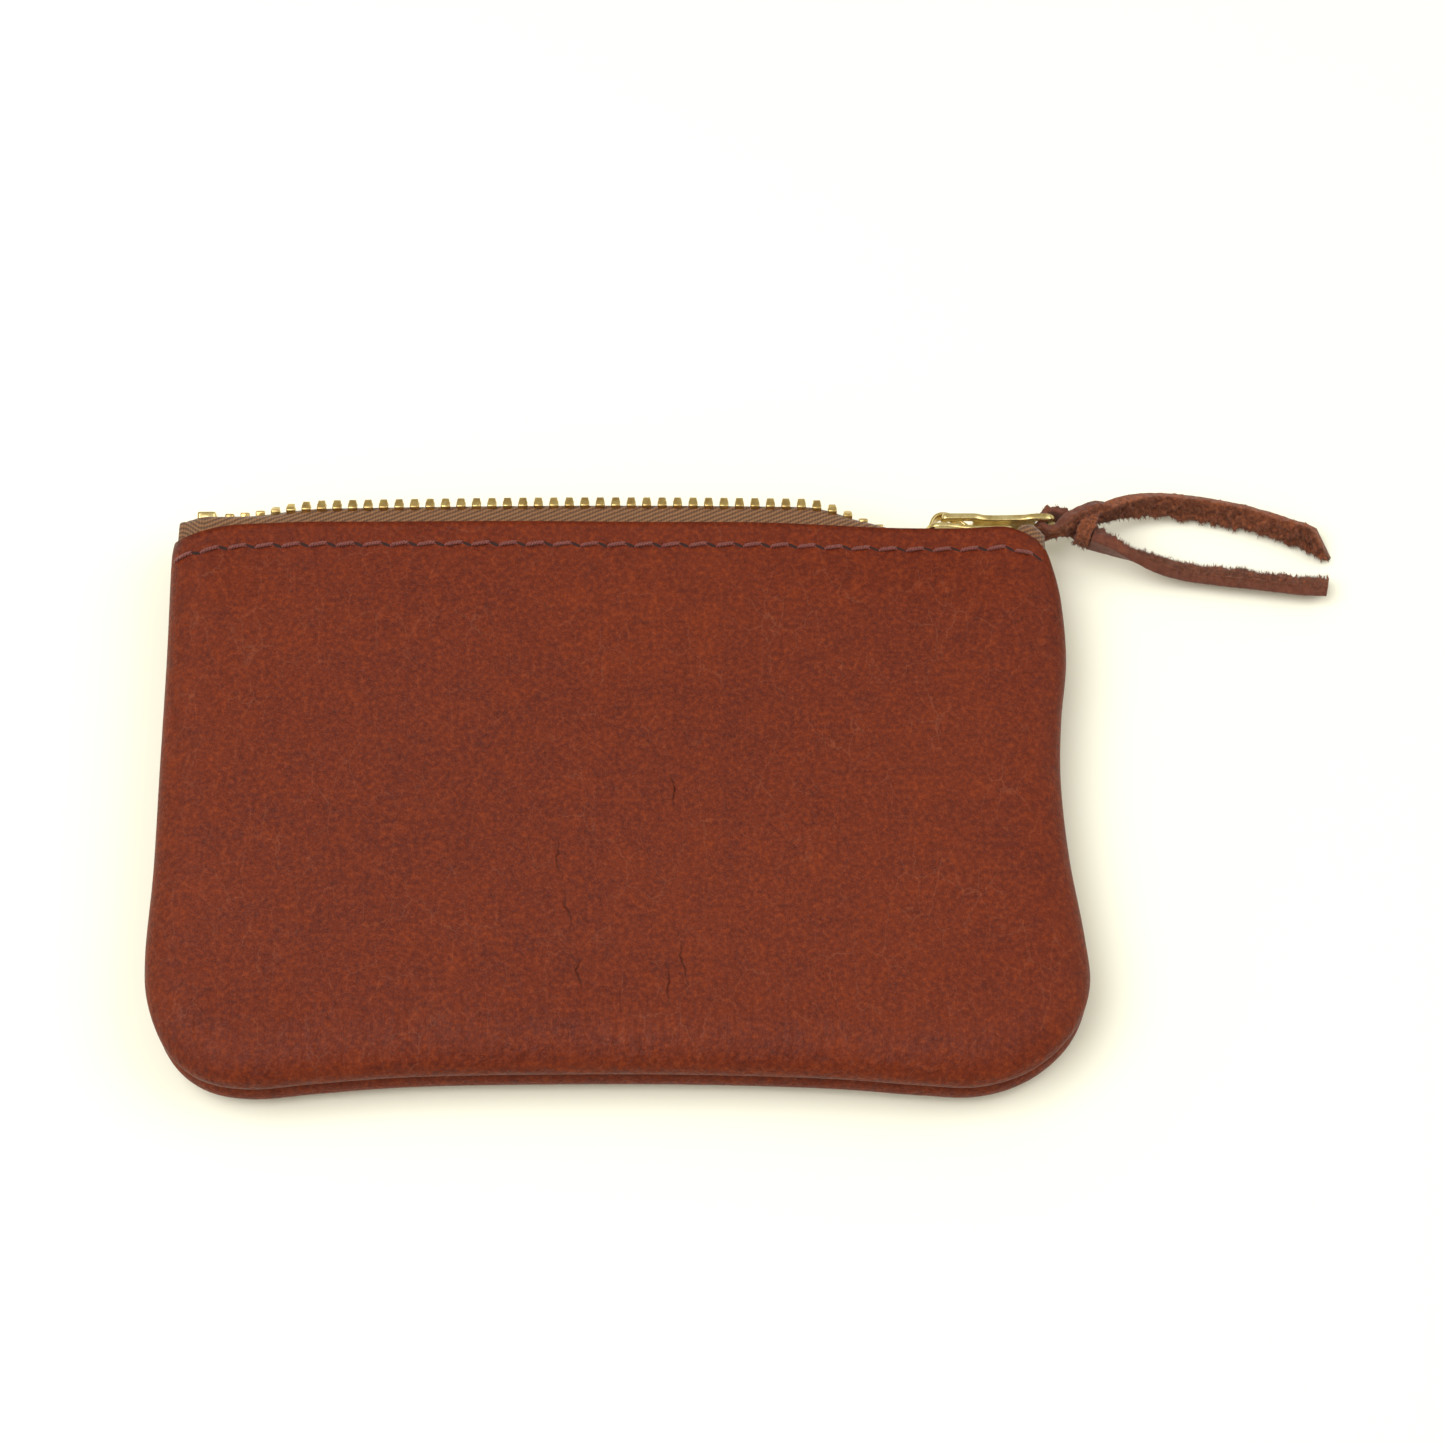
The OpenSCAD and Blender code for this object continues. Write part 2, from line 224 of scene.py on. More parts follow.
def ease(t):
    t = np.clip(t, 0, 1)
    return t * t * (3 - 2 * t)


# %% [markdown]
# The camera comes first. It looks down at 65 degrees over the bottom edge from about half a metre, and
# its target is a little right of the pouch's middle, to take in the thong.

# %% Camera
TARGET = Vector((16.4, 14.1, 0)) * MM
ELEVATION = math.radians(65)
DISTANCE = 480 * MM
camera_data = bpy.data.cameras.new("camera")
camera_data.lens = 78.7
camera_data.sensor_width = 36
camera = placed("camera", camera_data)
camera.location = TARGET + DISTANCE * Vector((0, -math.cos(ELEVATION), math.sin(ELEVATION)))
camera.rotation_euler = (math.pi / 2 - ELEVATION, 0, 0)
bpy.context.scene.camera = camera
print("camera at", [round(c, 3) for c in camera.location])


# %% [markdown]
# Materials are built from nodes. One small function adds a node with its settings and links. Colours are
# written as the sRGB hex that a paint program shows, and one function turns them to linear light.
# Everything is scaled in millimetres, so each pattern keeps its real size.

# %% Node helpers
PLUS = {"operation": "ADD"}
MINUS = {"operation": "SUBTRACT"}
TIMES = {"operation": "MULTIPLY"}
TIMES_PLUS = {"operation": "MULTIPLY_ADD"}
LARGER = {"operation": "MAXIMUM"}
SMALLER = {"operation": "MINIMUM"}
WITHOUT_SIGN = {"operation": "ABSOLUTE"}
SINE = {"operation": "SINE"}
MIXED = {"data_type": "RGBA", "blend_type": "MIX"}
SHADED = {"data_type": "RGBA", "blend_type": "MULTIPLY"}
TO_EDGE = {"feature": "DISTANCE_TO_EDGE"}


def linear(code):
    values = [int(code[i:i + 2], 16) / 255 for i in (1, 3, 5)]
    return [v / 12.92 if v <= 0.04045 else ((v + 0.055) / 1.055) ** 2.4 for v in values] + [1]


def fill(tree, node, **inputs):
    """Sets inputs by name or number. Each is a value, an output, or a node, meaning its first live output."""
    for key, value in inputs.items():
        socket = node.inputs[int(key[1:]) if key[1:].isdigit() else key.replace("_", " ")]
        if isinstance(value, bpy.types.Node):
            value = next(output for output in value.outputs if output.enabled)
        if isinstance(value, bpy.types.NodeSocket):
            tree.links.new(value, socket)
        else:
            socket.default_value = value


def add(tree, kind, settings=None, **inputs):
    """Adds a node with its settings and links. The setting called stops is a ramp's (place, hex) list."""
    node = tree.nodes.new("ShaderNode" + kind)
    for key, value in (settings or {}).items():
        if key != "stops":
            setattr(node, key, value)
            continue
        while len(node.color_ramp.elements) < len(value):
            node.color_ramp.elements.new(0.5)
        for element, (place, code) in zip(node.color_ramp.elements, value):
            element.position = place
            element.color = linear(code)
    fill(tree, node, **inputs)
    return node


def new_material(name):
    material = bpy.data.materials.new(name)
    material.use_nodes = True
    tree = material.node_tree
    tree.nodes.clear()
    surface = add(tree, "BsdfPrincipled")
    add(tree, "OutputMaterial", Surface=surface)
    print("material", name)
    return material, tree, surface


def millimetres(tree):
    """Object coordinates, in millimetres."""
    place = add(tree, "TexCoord")
    return add(tree, "Mapping", i0=place.outputs["Object"], i3=(1000, 1000, 1000))


# %% [markdown]
# ** Creases.** A few soft folds run up the lower middle, where a full pocket bends the leather. Each is a
# line drawn from one place to another, wobbled a little and fading out at both ends.

# %% Creases
CREASES = [(-7.6, -8.0, -6.6, -17.5), (-6.6, -17.0, -5.4, -25.0), (-4.6, -27.0, -3.4, -34.0),
           (8.6, 2.0, 9.8, -6.5), (10.0, -23.5, 11.6, -34.5), (8.2, -28.0, 8.6, -37.0)]


def crease_lines(tree, where):
    """1 on a crease and 0 away from it."""
    place = add(tree, "SeparateXYZ", Vector=where)
    x, y = place.outputs["X"], place.outputs["Y"]
    drift = add(tree, "TexNoise", Vector=where, Scale=1 / 3.0, Detail=2.0, Roughness=0.5)
    drift = add(tree, "Math", MINUS, i0=drift, i1=0.5)
    wobble = add(tree, "Math", TIMES, i0=drift, i1=3.0)
    total = None
    for x0, y0, x1, y1 in CREASES:
        slope = (x1 - x0) / (y1 - y0)
        off = add(tree, "Math", TIMES_PLUS, i0=y, i1=-slope, i2=slope * y0 - x0)
        off = add(tree, "Math", PLUS, i0=off, i1=x)
        off = add(tree, "Math", PLUS, i0=off, i1=wobble)
        off = add(tree, "Math", WITHOUT_SIGN, i0=off)
        off = add(tree, "Math", TIMES, i0=off, i1=4.6)
        off = add(tree, "Math", SMALLER, i0=off, i1=1.0)
        line = add(tree, "Math", MINUS, i0=1.0, i1=off)
        reach = add(tree, "Math", MINUS, i0=y, i1=(y0 + y1) / 2)
        reach = add(tree, "Math", WITHOUT_SIGN, i0=reach)
        reach = add(tree, "Math", TIMES, i0=reach, i1=2 / abs(y1 - y0))
        reach = add(tree, "Math", MINUS, i0=1.0, i1=reach)
        reach = add(tree, "Math", LARGER, i0=reach, i1=0.0)
        line = add(tree, "Math", TIMES, i0=line, i1=reach)
        total = add(tree, "Math", LARGER, i0=total, i1=line) if total else line
    return total


print("creases", len(CREASES))

# %% [markdown]
# **Panel leather.** Smooth full-grain, vegetable-tanned leather, dyed red-brown and waxed. The dye takes
# unevenly, so the colour drifts between orange-brown and dark red-brown over a few centimetres, with a
# finer cloud of a few millimetres inside it. The grain is a net of tiny cells about 0.5 mm across with
# pores between them, and the wax gives a soft, broad shine. The flesh side and cut edges are matt.

# %% Panel leather
def grain_leather():
    material, tree, surface = new_material("full_grain_leather")
    where = millimetres(tree)
    drift = add(tree, "TexNoise", Vector=where, Scale=1 / 30, Detail=3.0, Roughness=0.55)
    cloud = add(tree, "TexNoise", Vector=where, Scale=1 / 4.0, Detail=6.0, Roughness=0.7)
    fibre = add(tree, "TexNoise", Vector=where, Scale=1 / 0.75, Detail=4.0, Roughness=0.72)
    base = {"stops": ((0.35, "#5C1D08"), (0.5, "#642006"), (0.66, "#702706"))}
    clouds = {"stops": ((0.32, "#441208"), (0.5, "#642006"), (0.68, "#823108"))}
    specks = {"stops": ((0.3, "#320B06"), (0.5, "#662208"), (0.7, "#923E14"))}
    colour = add(tree, "ValToRGB", base, Fac=drift)
    tint = add(tree, "ValToRGB", clouds, Fac=cloud)
    colour = add(tree, "Mix", MIXED, i0=0.5, i6=colour, i7=tint)
    speck = add(tree, "ValToRGB", specks, Fac=fibre)
    colour = add(tree, "Mix", MIXED, i0=0.5, i6=colour, i7=speck)
    # pale hair lines, where wax has gathered in the finest wrinkles
    bent = add(tree, "Mapping", i0=where, i2=(0, 0, math.radians(-22)), i3=(1, 0.55, 1))
    ripple = add(tree, "TexNoise", Vector=where, Scale=0.5, Detail=4.0)
    bent = add(tree, "VectorMath", TIMES_PLUS, i0=ripple.outputs["Color"], i1=(1.6, 1.6, 1.6), i2=bent)
    web = add(tree, "TexVoronoi", TO_EDGE, Vector=bent, Scale=0.26)
    hair = add(tree, "ValToRGB", {"stops": ((0.0, "#FFFFFF"), (0.022, "#000000"))}, Fac=web)
    patches = add(tree, "TexNoise", Vector=where, Scale=1 / 7, Detail=3.0, Roughness=0.6)
    thin = add(tree, "ValToRGB", {"stops": ((0.42, "#000000"), (0.62, "#FFFFFF"))}, Fac=patches)
    hair = add(tree, "Math", TIMES, i0=hair, i1=thin)
    hair = add(tree, "Math", TIMES, i0=hair, i1=0.2)
    colour = add(tree, "Mix", MIXED, i0=hair, i6=colour, i7=linear("#9C5E44"))
    crease = crease_lines(tree, where)
    # painted shade: the crease lines darken the colour where shade would lie in the folds; the groove bump
    # below is the real relief
    dark = add(tree, "Math", TIMES, i0=crease, i1=0.75)
    colour = add(tree, "Mix", MIXED, i0=dark, i6=colour, i7=linear("#2E100A"))
    cells = add(tree, "TexVoronoi", TO_EDGE, Vector=where, Scale=1.9)
    pores = add(tree, "ValToRGB", {"stops": ((0.0, "#000000"), (0.16, "#FFFFFF"))}, Fac=cells)
    slant = add(tree, "Mapping", i0=where, i2=(0, 0, math.radians(32)), i3=(1, 0.22, 1))
    streak = add(tree, "TexNoise", Vector=slant, Scale=1 / 1.3, Detail=3.0, Roughness=0.6)
    # short upright wrinkles just above the bottom roll, where the leather is drawn in by the seam
    upright = add(tree, "Mapping", i0=where, i2=(0, 0, math.radians(3)), i3=(1, 0.16, 1))
    pucker = add(tree, "TexNoise", Vector=upright, Scale=1 / 1.6, Detail=3.0, Roughness=0.6)
    place = add(tree, "SeparateXYZ", Vector=where)
    low = add(tree, "MapRange", i0=place.outputs["Y"], i1=BOTTOM + 20, i2=BOTTOM + 9, i3=0.0, i4=1.0)
    pucker = add(tree, "Math", TIMES, i0=pucker, i1=low)
    groove = add(tree, "Math", TIMES, i0=crease, i1=-1.0)
    normal = add(tree, "Bump", Strength=1.0, Distance=0.07 * MM, Height=fibre)
    for height, depth in ((pores, 0.03), (streak, 0.1), (pucker, 0.5), (groove, 0.14)):
        normal = add(tree, "Bump", Strength=1.0, Distance=depth * MM, Height=height, Normal=normal)
    shine = add(tree, "ValToRGB", {"stops": ((0.3, "#AAAAAA"), (0.7, "#C4C4C4"))}, Fac=cloud)
    fill(tree, surface, Base_Color=colour, Roughness=shine, Normal=normal, IOR=1.47, Specular_IOR_Level=0.2)
    return material


def flesh_leather(name, dark, light, fibre_mm):
    """The flesh side and cut edges: matt, fibrous and paler."""
    material, tree, surface = new_material(name)
    where = millimetres(tree)
    nap = add(tree, "TexNoise", Vector=where, Scale=1 / fibre_mm, Detail=5.0, Roughness=0.75)
    cloud = add(tree, "TexNoise", Vector=where, Scale=1 / 3.5, Detail=3.0, Roughness=0.6)
    colour = add(tree, "ValToRGB", {"stops": ((0.3, dark), (0.7, light))}, Fac=nap)
    shade = add(tree, "ValToRGB", {"stops": ((0.3, "#8A8A8A"), (0.7, "#FFFFFF"))}, Fac=cloud)
    colour = add(tree, "Mix", SHADED, i0=0.35, i6=colour, i7=shade)
    normal = add(tree, "Bump", Strength=1.0, Distance=0.25 * MM, Height=nap)
    fill(tree, surface, Base_Color=colour, Normal=normal, Roughness=0.95)
    fill(tree, surface, Sheen_Weight=0.15, Sheen_Roughness=0.5)
    return material


LEATHER_OUT = grain_leather()
LEATHER_IN = flesh_leather("leather_flesh_side", "#4A2416", "#7E4C30", 0.5)
LEATHER_CUT = flesh_leather("leather_cut_edge", "#4A1C10", "#6E321C", 0.3)

# %% [markdown]
# **Brass.** The zip is plain stamped and drawn brass, tumbled but not plated, so it is a warm, slightly
# uneven mirror with a haze of fine scratches. A metal keeps the default IOR: its base colour does the work.

# %% Brass
def polished_brass(name, dark, light, rough):
    material, tree, surface = new_material(name)
    where = millimetres(tree)
    tarnish = add(tree, "TexNoise", Vector=where, Scale=1 / 1.6, Detail=4.0, Roughness=0.6)
    brushed = add(tree, "Mapping", i0=where, i2=(0, 0, math.radians(8)), i3=(0.12, 1, 1))
    scratch = add(tree, "TexNoise", Vector=brushed, Scale=1 / 0.18, Detail=2.0, Roughness=0.6)
    colour = add(tree, "ValToRGB", {"stops": ((0.35, dark), (0.65, light))}, Fac=tarnish)
    normal = add(tree, "Bump", Strength=1.0, Distance=0.012 * MM, Height=scratch)
    fill(tree, surface, Base_Color=colour, Normal=normal, Metallic=1.0, Roughness=rough)
    return material


BRASS = polished_brass("tumbled_brass", "#C4AA6C", "#E8D49C", 0.26)
TOOTH_BRASS = polished_brass("drawn_brass_teeth", "#B09058", "#D8BC7C", 0.3)

# %% [markdown]
# **Zip tape.** A cotton-polyester twill: the threads cross in steps, so fine ridges run at a slant along
# the tape. The ridges are 0.7 mm apart here. The mesh carries its own coordinates, along the tape and
# across it, in an attribute called weave, so the ridges follow the tape round its fold.

# %% Zip tape
RIDGE_MM = 0.7
CROSS_MM = 0.42


def twill_tape():
    material, tree, surface = new_material("twill_zip_tape")
    weave = add(tree, "Attribute", {"attribute_name": "weave"})
    along = add(tree, "SeparateXYZ", Vector=weave.outputs["Vector"])
    run, across = along.outputs["X"], along.outputs["Y"]
    where = millimetres(tree)
    wobble = add(tree, "TexNoise", Vector=where, Scale=1 / 1.5, Detail=2.0, Roughness=0.5)
    wobble = add(tree, "Math", TIMES, i0=wobble, i1=0.3)
    forward = add(tree, "Math", TIMES, i0=run, i1=-0.42)
    sideways = add(tree, "Math", TIMES, i0=across, i1=0.9)
    slant = add(tree, "Math", PLUS, i0=forward, i1=sideways)
    slant = add(tree, "Math", PLUS, i0=slant, i1=wobble)
    slant = add(tree, "Math", TIMES, i0=slant, i1=2 * math.pi / RIDGE_MM)
    ridge = add(tree, "Math", SINE, i0=slant)
    cross = add(tree, "Math", TIMES, i0=run, i1=2 * math.pi / CROSS_MM)
    cross = add(tree, "Math", SINE, i0=cross)
    ridge = add(tree, "Math", TIMES, i0=ridge, i1=0.5)
    cross = add(tree, "Math", TIMES, i0=cross, i1=0.2)
    height = add(tree, "Math", PLUS, i0=ridge, i1=cross)
    shade = add(tree, "Math", TIMES_PLUS, i0=height, i1=0.5, i2=0.5)
    # painted shade and light: the colour follows the ridge height, darker in the grooves and lighter on the
    # crests; the same height is also a real bump
    browns = {"stops": ((0.15, "#4A2F1C"), (0.6, "#855A38"), (0.95, "#A0744C"))}
    colour = add(tree, "ValToRGB", browns, Fac=shade)
    fuzz = add(tree, "TexNoise", Vector=where, Scale=1 / 0.25, Detail=2.0, Roughness=0.6)
    fuzz = add(tree, "ValToRGB", {"stops": ((0.3, "#9A9A9A"), (0.7, "#FFFFFF"))}, Fac=fuzz)
    colour = add(tree, "Mix", SHADED, i0=0.5, i6=colour, i7=fuzz)
    normal = add(tree, "Bump", Strength=1.0, Distance=0.12 * MM, Height=shade)
    fill(tree, surface, Base_Color=colour, Normal=normal, Roughness=0.85, Sheen_Weight=0.25)
    return material


TAPE = twill_tape()

# %% [markdown]
# **Thread and suede.** The sewing thread is a two-ply bonded polyester with a little shine. The thong is
# a lace cut from the same kind of leather: its grain side is smooth and its flesh side is raised suede.

# %% Thread and thong
def sewing_thread():
    material, tree, surface = new_material("two_ply_thread")
    fibre = add(tree, "TexNoise", Vector=millimetres(tree), Scale=1 / 0.16, Detail=3.0, Roughness=0.7)
    reds = {"stops": ((0.3, "#4A1712"), (0.55, "#7A332A"), (0.8, "#B0705F"))}
    colour = add(tree, "ValToRGB", reds, Fac=fibre)
    normal = add(tree, "Bump", Strength=1.0, Distance=0.05 * MM, Height=fibre)
    fill(tree, surface, Base_Color=colour, Normal=normal, Roughness=0.5, Sheen_Weight=0.2)
    return material


def needle_shadow():
    material, tree, surface = new_material("needle_hole_shadow")
    shade = add(tree, "TexNoise", Vector=millimetres(tree), Scale=1 / 0.2, Detail=2.0, Roughness=0.5)
    colour = add(tree, "ValToRGB", {"stops": ((0.3, "#1C0907"), (0.7, "#35140D"))}, Fac=shade)
    fill(tree, surface, Base_Color=colour, Roughness=0.9)
    return material


THREAD = sewing_thread()
# painted shade for the needle holes: a dark material laid on the leather
HOLE_SHADE = needle_shadow()
SUEDE = flesh_leather("raised_suede", "#54200C", "#B4653A", 0.4)
THONG_GRAIN = flesh_leather("thong_grain_side", "#5E2C1C", "#80462F", 0.9)


# %% [markdown]
# **The panels' outline.** A handmade pouch isn't a perfect rectangle. The right side swells and pinches,
# the bottom is drawn up in the middle by its seam, and the corners hang a little lower. The outline is a
# smooth line through a few chosen points, as steps in from the frame's own box.

# %% Outline of a panel
OUTLINE = [
    (-SIDE + 1.0, MOUTH - 2.3), (-SIDE + 0.8, MOUTH - 6), (-SIDE + 1.3, MOUTH - 22),
    (-SIDE + 1.6, MOUTH - 40), (-SIDE + 1.9, MOUTH - 56), (-SIDE + 1.7, MOUTH - 69),
    (-SIDE + 2.6, MOUTH - 76.5),
    (-SIDE + 5.9, MOUTH - 83.7), (-SIDE + 11, MOUTH - 87.9), (-SIDE + 18, MOUTH - 89.2),
    (-SIDE + 27, MOUTH - 88.4), (-SIDE + 40, MOUTH - 87.4), (-SIDE + 58, MOUTH - 87.0),
    (-SIDE + 80, MOUTH - 87.0), (-SIDE + 100, MOUTH - 87.6), (-SIDE + 113, MOUTH - 88.6),
    (-SIDE + 121.5, MOUTH - 88.8), (SIDE - 8.1, MOUTH - 86.3), (SIDE - 2.2, MOUTH - 81),
    (SIDE + 0.6, MOUTH - 74), (SIDE + 0.2, MOUTH - 66), (SIDE - 1.4, MOUTH - 54), (SIDE - 2.1, MOUTH - 42),
    (SIDE - 1.6, MOUTH - 32), (SIDE - 0.4, MOUTH - 22), (SIDE - 0.7, MOUTH - 12), (SIDE - 1.9, MOUTH - 5.5),
    (SIDE - 2.9, MOUTH - 2.4)]
edge_line = smooth_line(OUTLINE, 640)
print("edge of a panel:", round(length_of(edge_line)), "mm")

# %% [markdown]
# **The panels' form.** Each edge rolls over: seen in section it is part of an ellipse that starts at the
# seam, swells out and comes up to the flat of the panel. So the height of any point follows from
# its distance to the edge. The grid is a Coons patch, which blends four sides into a sheet, with its
# lines crowded near the edges where the roll needs them.

# %% Panel form
ROLL_W = 7.5
ROLL_FROM = -36
ROLL_RISE = (TOP - MID) / (1 - math.sin(math.radians(ROLL_FROM)))
ROLL_MID = TOP - ROLL_RISE


def edge_distance(points):
    """The distance of each point to the outline."""
    a, b = edge_line[:-1], edge_line[1:]
    step = b - a
    best = np.full(len(points), 1e9)
    for start in range(0, len(a), 40):
        s, d = a[start:start + 40], step[start:start + 40]
        t = np.clip(((points[:, None] - s) * d).sum(2) / (d * d).sum(1), 0, 1)
        gap = np.linalg.norm(points[:, None] - (s + t[..., None] * d), axis=2)
        best = np.minimum(best, gap.min(1))
    return best


def waves(points):
    """Slow unevenness of the leather, in millimetres, with a small pleat at each bottom corner."""
    x, y = points[:, 0], points[:, 1]
    slow = np.sin(x / 13 + 0.6) * np.cos(y / 11 + 0.4) + 0.7 * np.sin(x / 7.3 - y / 9.1 + 1.9)
    pinch = np.sin(x / 2.6 + 1.5 * np.sin(y / 9)) * np.exp(-((y - BOTTOM - 8) / 5) ** 2)
    left = np.exp(-((x + SIDE - 11.5 - 0.6 * (y - BOTTOM - 2)) / 0.9) ** 2 - ((y - BOTTOM - 2) / 3.2) ** 2)
    right = np.exp(-((x - SIDE + 9.5 + 0.6 * (y - BOTTOM - 2)) / 1.1) ** 2 - ((y - BOTTOM - 2) / 3.0) ** 2)
    return 0.16 * slow + 0.05 * pinch - 1.5 * left - 0.7 * right


def mouth_edge(x):
    """The leather's edge along the mouth: nearly straight, drawn down at both ends."""
    left = 2.3 * ease((-x - 54) / (SIDE - 0.9 - 54)) ** 1.6
    right = 0.5 * ease((x - 20) / 25) + 1.9 * ease((x - 58) / (SIDE - 2.9 - 58)) ** 1.3
    return MOUTH - left - right


def pinch_drop(points):
    """How far the closed ends of the zip draw the leather down."""
    x, y = points[:, 0], points[:, 1]
    near = ease((y - MOUTH + 16) / 16)
    return near * (1.3 * ease((x - 12) / 34) + 1.2 * ease((-x - 44) / 18))


def panel_height(points):
    """Height of the front panel's face over the seam's level."""
    gap = edge_distance(points)
    turn = np.arccos(np.clip(1 - gap / ROLL_W, 0, 1))
    flat = ease(gap / (2 * ROLL_W))
    sag = 0.5 * ease((gap - ROLL_W) / 25)
    uneven = waves(points) - pinch_drop(points)
    return ROLL_MID + ROLL_RISE * np.sin(turn) + flat * uneven - sag * (1 - flat)


def graded(count, total, both):
    """Shares of a side: crowded over the roll at its end, or at both ends, and even between."""
    roll = ROLL_W * (1 - np.cos(np.linspace(0, math.pi / 2, 11))) / total
    middle = np.linspace(roll[-1] if both else 0, 1 - roll[-1], count)
    ends = [roll[:-1]] if both else []
    return np.concatenate(ends + [middle, 1 - roll[:-1][::-1]])


def panel_grid():
    run = run_along(edge_line)
    left_corner = int(np.argmin(edge_line @ np.array([1, 1])))
    right_corner = int(np.argmax(edge_line @ np.array([1, -1])))
    left = edge_line[:left_corner + 1]
    floor = edge_line[left_corner:right_corner + 1]
    right = edge_line[right_corner:][::-1]
    u = graded(130, run[right_corner] - run[left_corner], True)
    v = graded(86, run[left_corner], False)
    along = np.linspace(left[0][0], right[0][0], 300)
    mouth = np.column_stack([along, mouth_edge(along)])
    mouth[0], mouth[-1] = left[0], right[0]
    sides = spaced(left, v), spaced(right, v)
    ends = spaced(mouth, u), spaced(floor, u)
    across, down = u[None, :, None], v[:, None, None]
    grid = (1 - across) * sides[0][:, None] + across * sides[1][:, None]
    grid = grid + (1 - down) * ends[0][None] + down * ends[1][None]
    grid -= (1 - down) * ((1 - across) * left[0] + across * right[0])
    grid -= down * ((1 - across) * left[-1] + across * right[-1])
    return grid


grid = panel_grid()
rows, columns = grid.shape[:2]
print("panel grid", rows, "by", columns)

# %% [markdown]
# Beyond the edge, the leather turns under to the seam and then runs inwards as the seam allowance, where
# it meets the other panel's. That strip is added to the three sewn sides. The Solidify modifier then
# gives the sheet its real thickness, inwards, with its own materials for the flesh side and the cut.

# %% Front and back panels
def panel_points():
    flat = grid.reshape(-1, 2)
    top = np.column_stack([flat, panel_height(flat)])
    ring = ([(r, 0) for r in range(rows)] + [(rows - 1, c) for c in range(1, columns)]
            + [(r, columns - 1) for r in range(rows - 2, -1, -1)])
    edge = np.array([grid[r, c] for r, c in ring])
    ahead = np.gradient(edge, axis=0)
    inward = unit(np.column_stack([-ahead[:, 1], ahead[:, 0]]))
    strips = []
    for degrees in np.linspace(0, ROLL_FROM, 5)[1:]:
        a = math.radians(degrees)
        strips.append(np.column_stack([edge + ROLL_W * (1 - math.cos(a)) * inward,
                                       np.full(len(edge), ROLL_MID + ROLL_RISE * math.sin(a))]))
    for reach in (2.4, 3.6, 5.0):
        strips.append(np.column_stack([edge + reach * inward, np.full(len(edge), MID + 0.04)]))
    return top, ring, strips


def panel_faces(ring, strips):
    faces = [(r * columns + c, (r + 1) * columns + c, (r + 1) * columns + c + 1, r * columns + c + 1)
             for r in range(rows - 1) for c in range(columns - 1)]
    before = [r * columns + c for r, c in ring]
    start = rows * columns
    for _ in strips:
        now = list(range(start, start + len(ring)))
        faces += [(before[k], now[k], now[k + 1], before[k + 1]) for k in range(len(ring) - 1)]
        before, start = now, start + len(ring)
    return faces


def make_panel(name, node, back):
    top, ring, strips = panel_points()
    points = np.vstack([top] + strips)
    faces = panel_faces(ring, strips)
    if back:
        points, faces = turned_over(points, faces)
        points[:, 2] = np.maximum(points[:, 2], 0.02)
    piece = make_object(name, points, faces, "pouch", [LEATHER_OUT, LEATHER_IN, LEATHER_CUT])
    shell = piece.modifiers.new("leather", "SOLIDIFY")
    shell.thickness = LEATHER * MM
    shell.offset = -1
    shell.material_offset = 1
    shell.material_offset_rim = 2
    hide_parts(node)


make_panel("front_leather", "front_panel", False)
make_panel("back_leather", "back_panel", True)


# %% [markdown]
# **The zip's line.** Along the open mouth each tape stands up with its teeth pointing out of the pouch,
# and near the slider it folds over to meet the other one. These functions say where the tape's edge is
# at any place along the mouth and how far it has turned. The row bows out a little in the middle.

# %% Line of the zip
TAPE_T = 0.4
CLAMP = 1.0
TOOTH_L = 2.4
TOOTH_T = 2.2
PITCH = 2.37
TAPE_END = tape_high[0]
TAPE_OUT = tape_high[2] - MID - TAPE_T / 2
RISE = teeth_high[1] - MOUTH - 1.4
SLIDER_X = slider_low[0]
SLIDER_L = slider_high[0] - slider_low[0]
NOSE_C = TOOTH_L + 0.9
TAIL_C = TOOTH_L - 0.4


def fold(x):
    right = ease((x - (SLIDER_X - 19)) / 18)
    left = 0.8 * ease((-TAPE_END + 21 - x) / 16)
    return np.maximum(right, left)


def edge_point(x):
    """The tape's toothed edge at x, as (y, distance from the seam's level)."""
    f = fold(x)
    drop = np.where(x > 0, f, 0.25 * f)
    bow = 0.9 * np.cos(np.clip(x / 60, -1, 1) * math.pi / 2)
    y = mix(MOUTH + RISE - 0.3 + bow, CHAIN, drop)
    closed = mix(NOSE_C, TAIL_C, np.clip((x - SLIDER_X) / (0.6 * SLIDER_L), 0, 1)) - CLAMP
    return y, mix(TAPE_OUT - 0.3, closed, f)


def turn_at(x):
    return np.radians(mix(8, 90, fold(x)))


def room(x):
    """How far from the seam's level the tape may be inside the rolled edge."""
    out = np.maximum(0, np.abs(x) - (SIDE - 6))
    return np.minimum(TAPE_OUT, np.sqrt(np.maximum(1, 4.4 ** 2 - out ** 2)))


# %% [markdown]
# Each tape is a sheet made of short cross-sections, rounded at the fold. The end of a real tape is
# turned back on itself and caught in the corner, so the last millimetres roll over.

# %% Tapes
TAPE_POINTS = 22


def tape_section(x):
    y, w = edge_point(x)
    wide = room(x)
    cover = 1.9 * ease((x - 60.8) / 1.6) * (1 - 0.8 * ease((x - 63.6) / 2.4))
    fold_y = mix(MOUTH + 0.6, y, fold(x)) + cover
    corner = np.array([[MOUTH - 9, wide], [MOUTH - 4, wide], [fold_y - 0.9, wide],
                       [mix(fold_y, y, 0.3), mix(wide, w, 0.35)], [y + 0.3 * cover, w]])
    return smooth_line(corner, TAPE_POINTS)


def tape_stations():
    """Places along the tape as (x, step towards the seam): its left end is turned back on itself."""
    turn = np.linspace(math.pi, 0, 9)
    end = -SIDE + 2.3
    back = [(x, -1.1) for x in np.linspace(end + 3.2, end + 0.3, 6)]
    curl = [(end - 0.5 * math.sin(a), -0.55 * (1 - math.cos(a))) for a in turn]
    return back + curl + [(x, 0) for x in np.linspace(end + 0.3, TAPE_END, 160)]


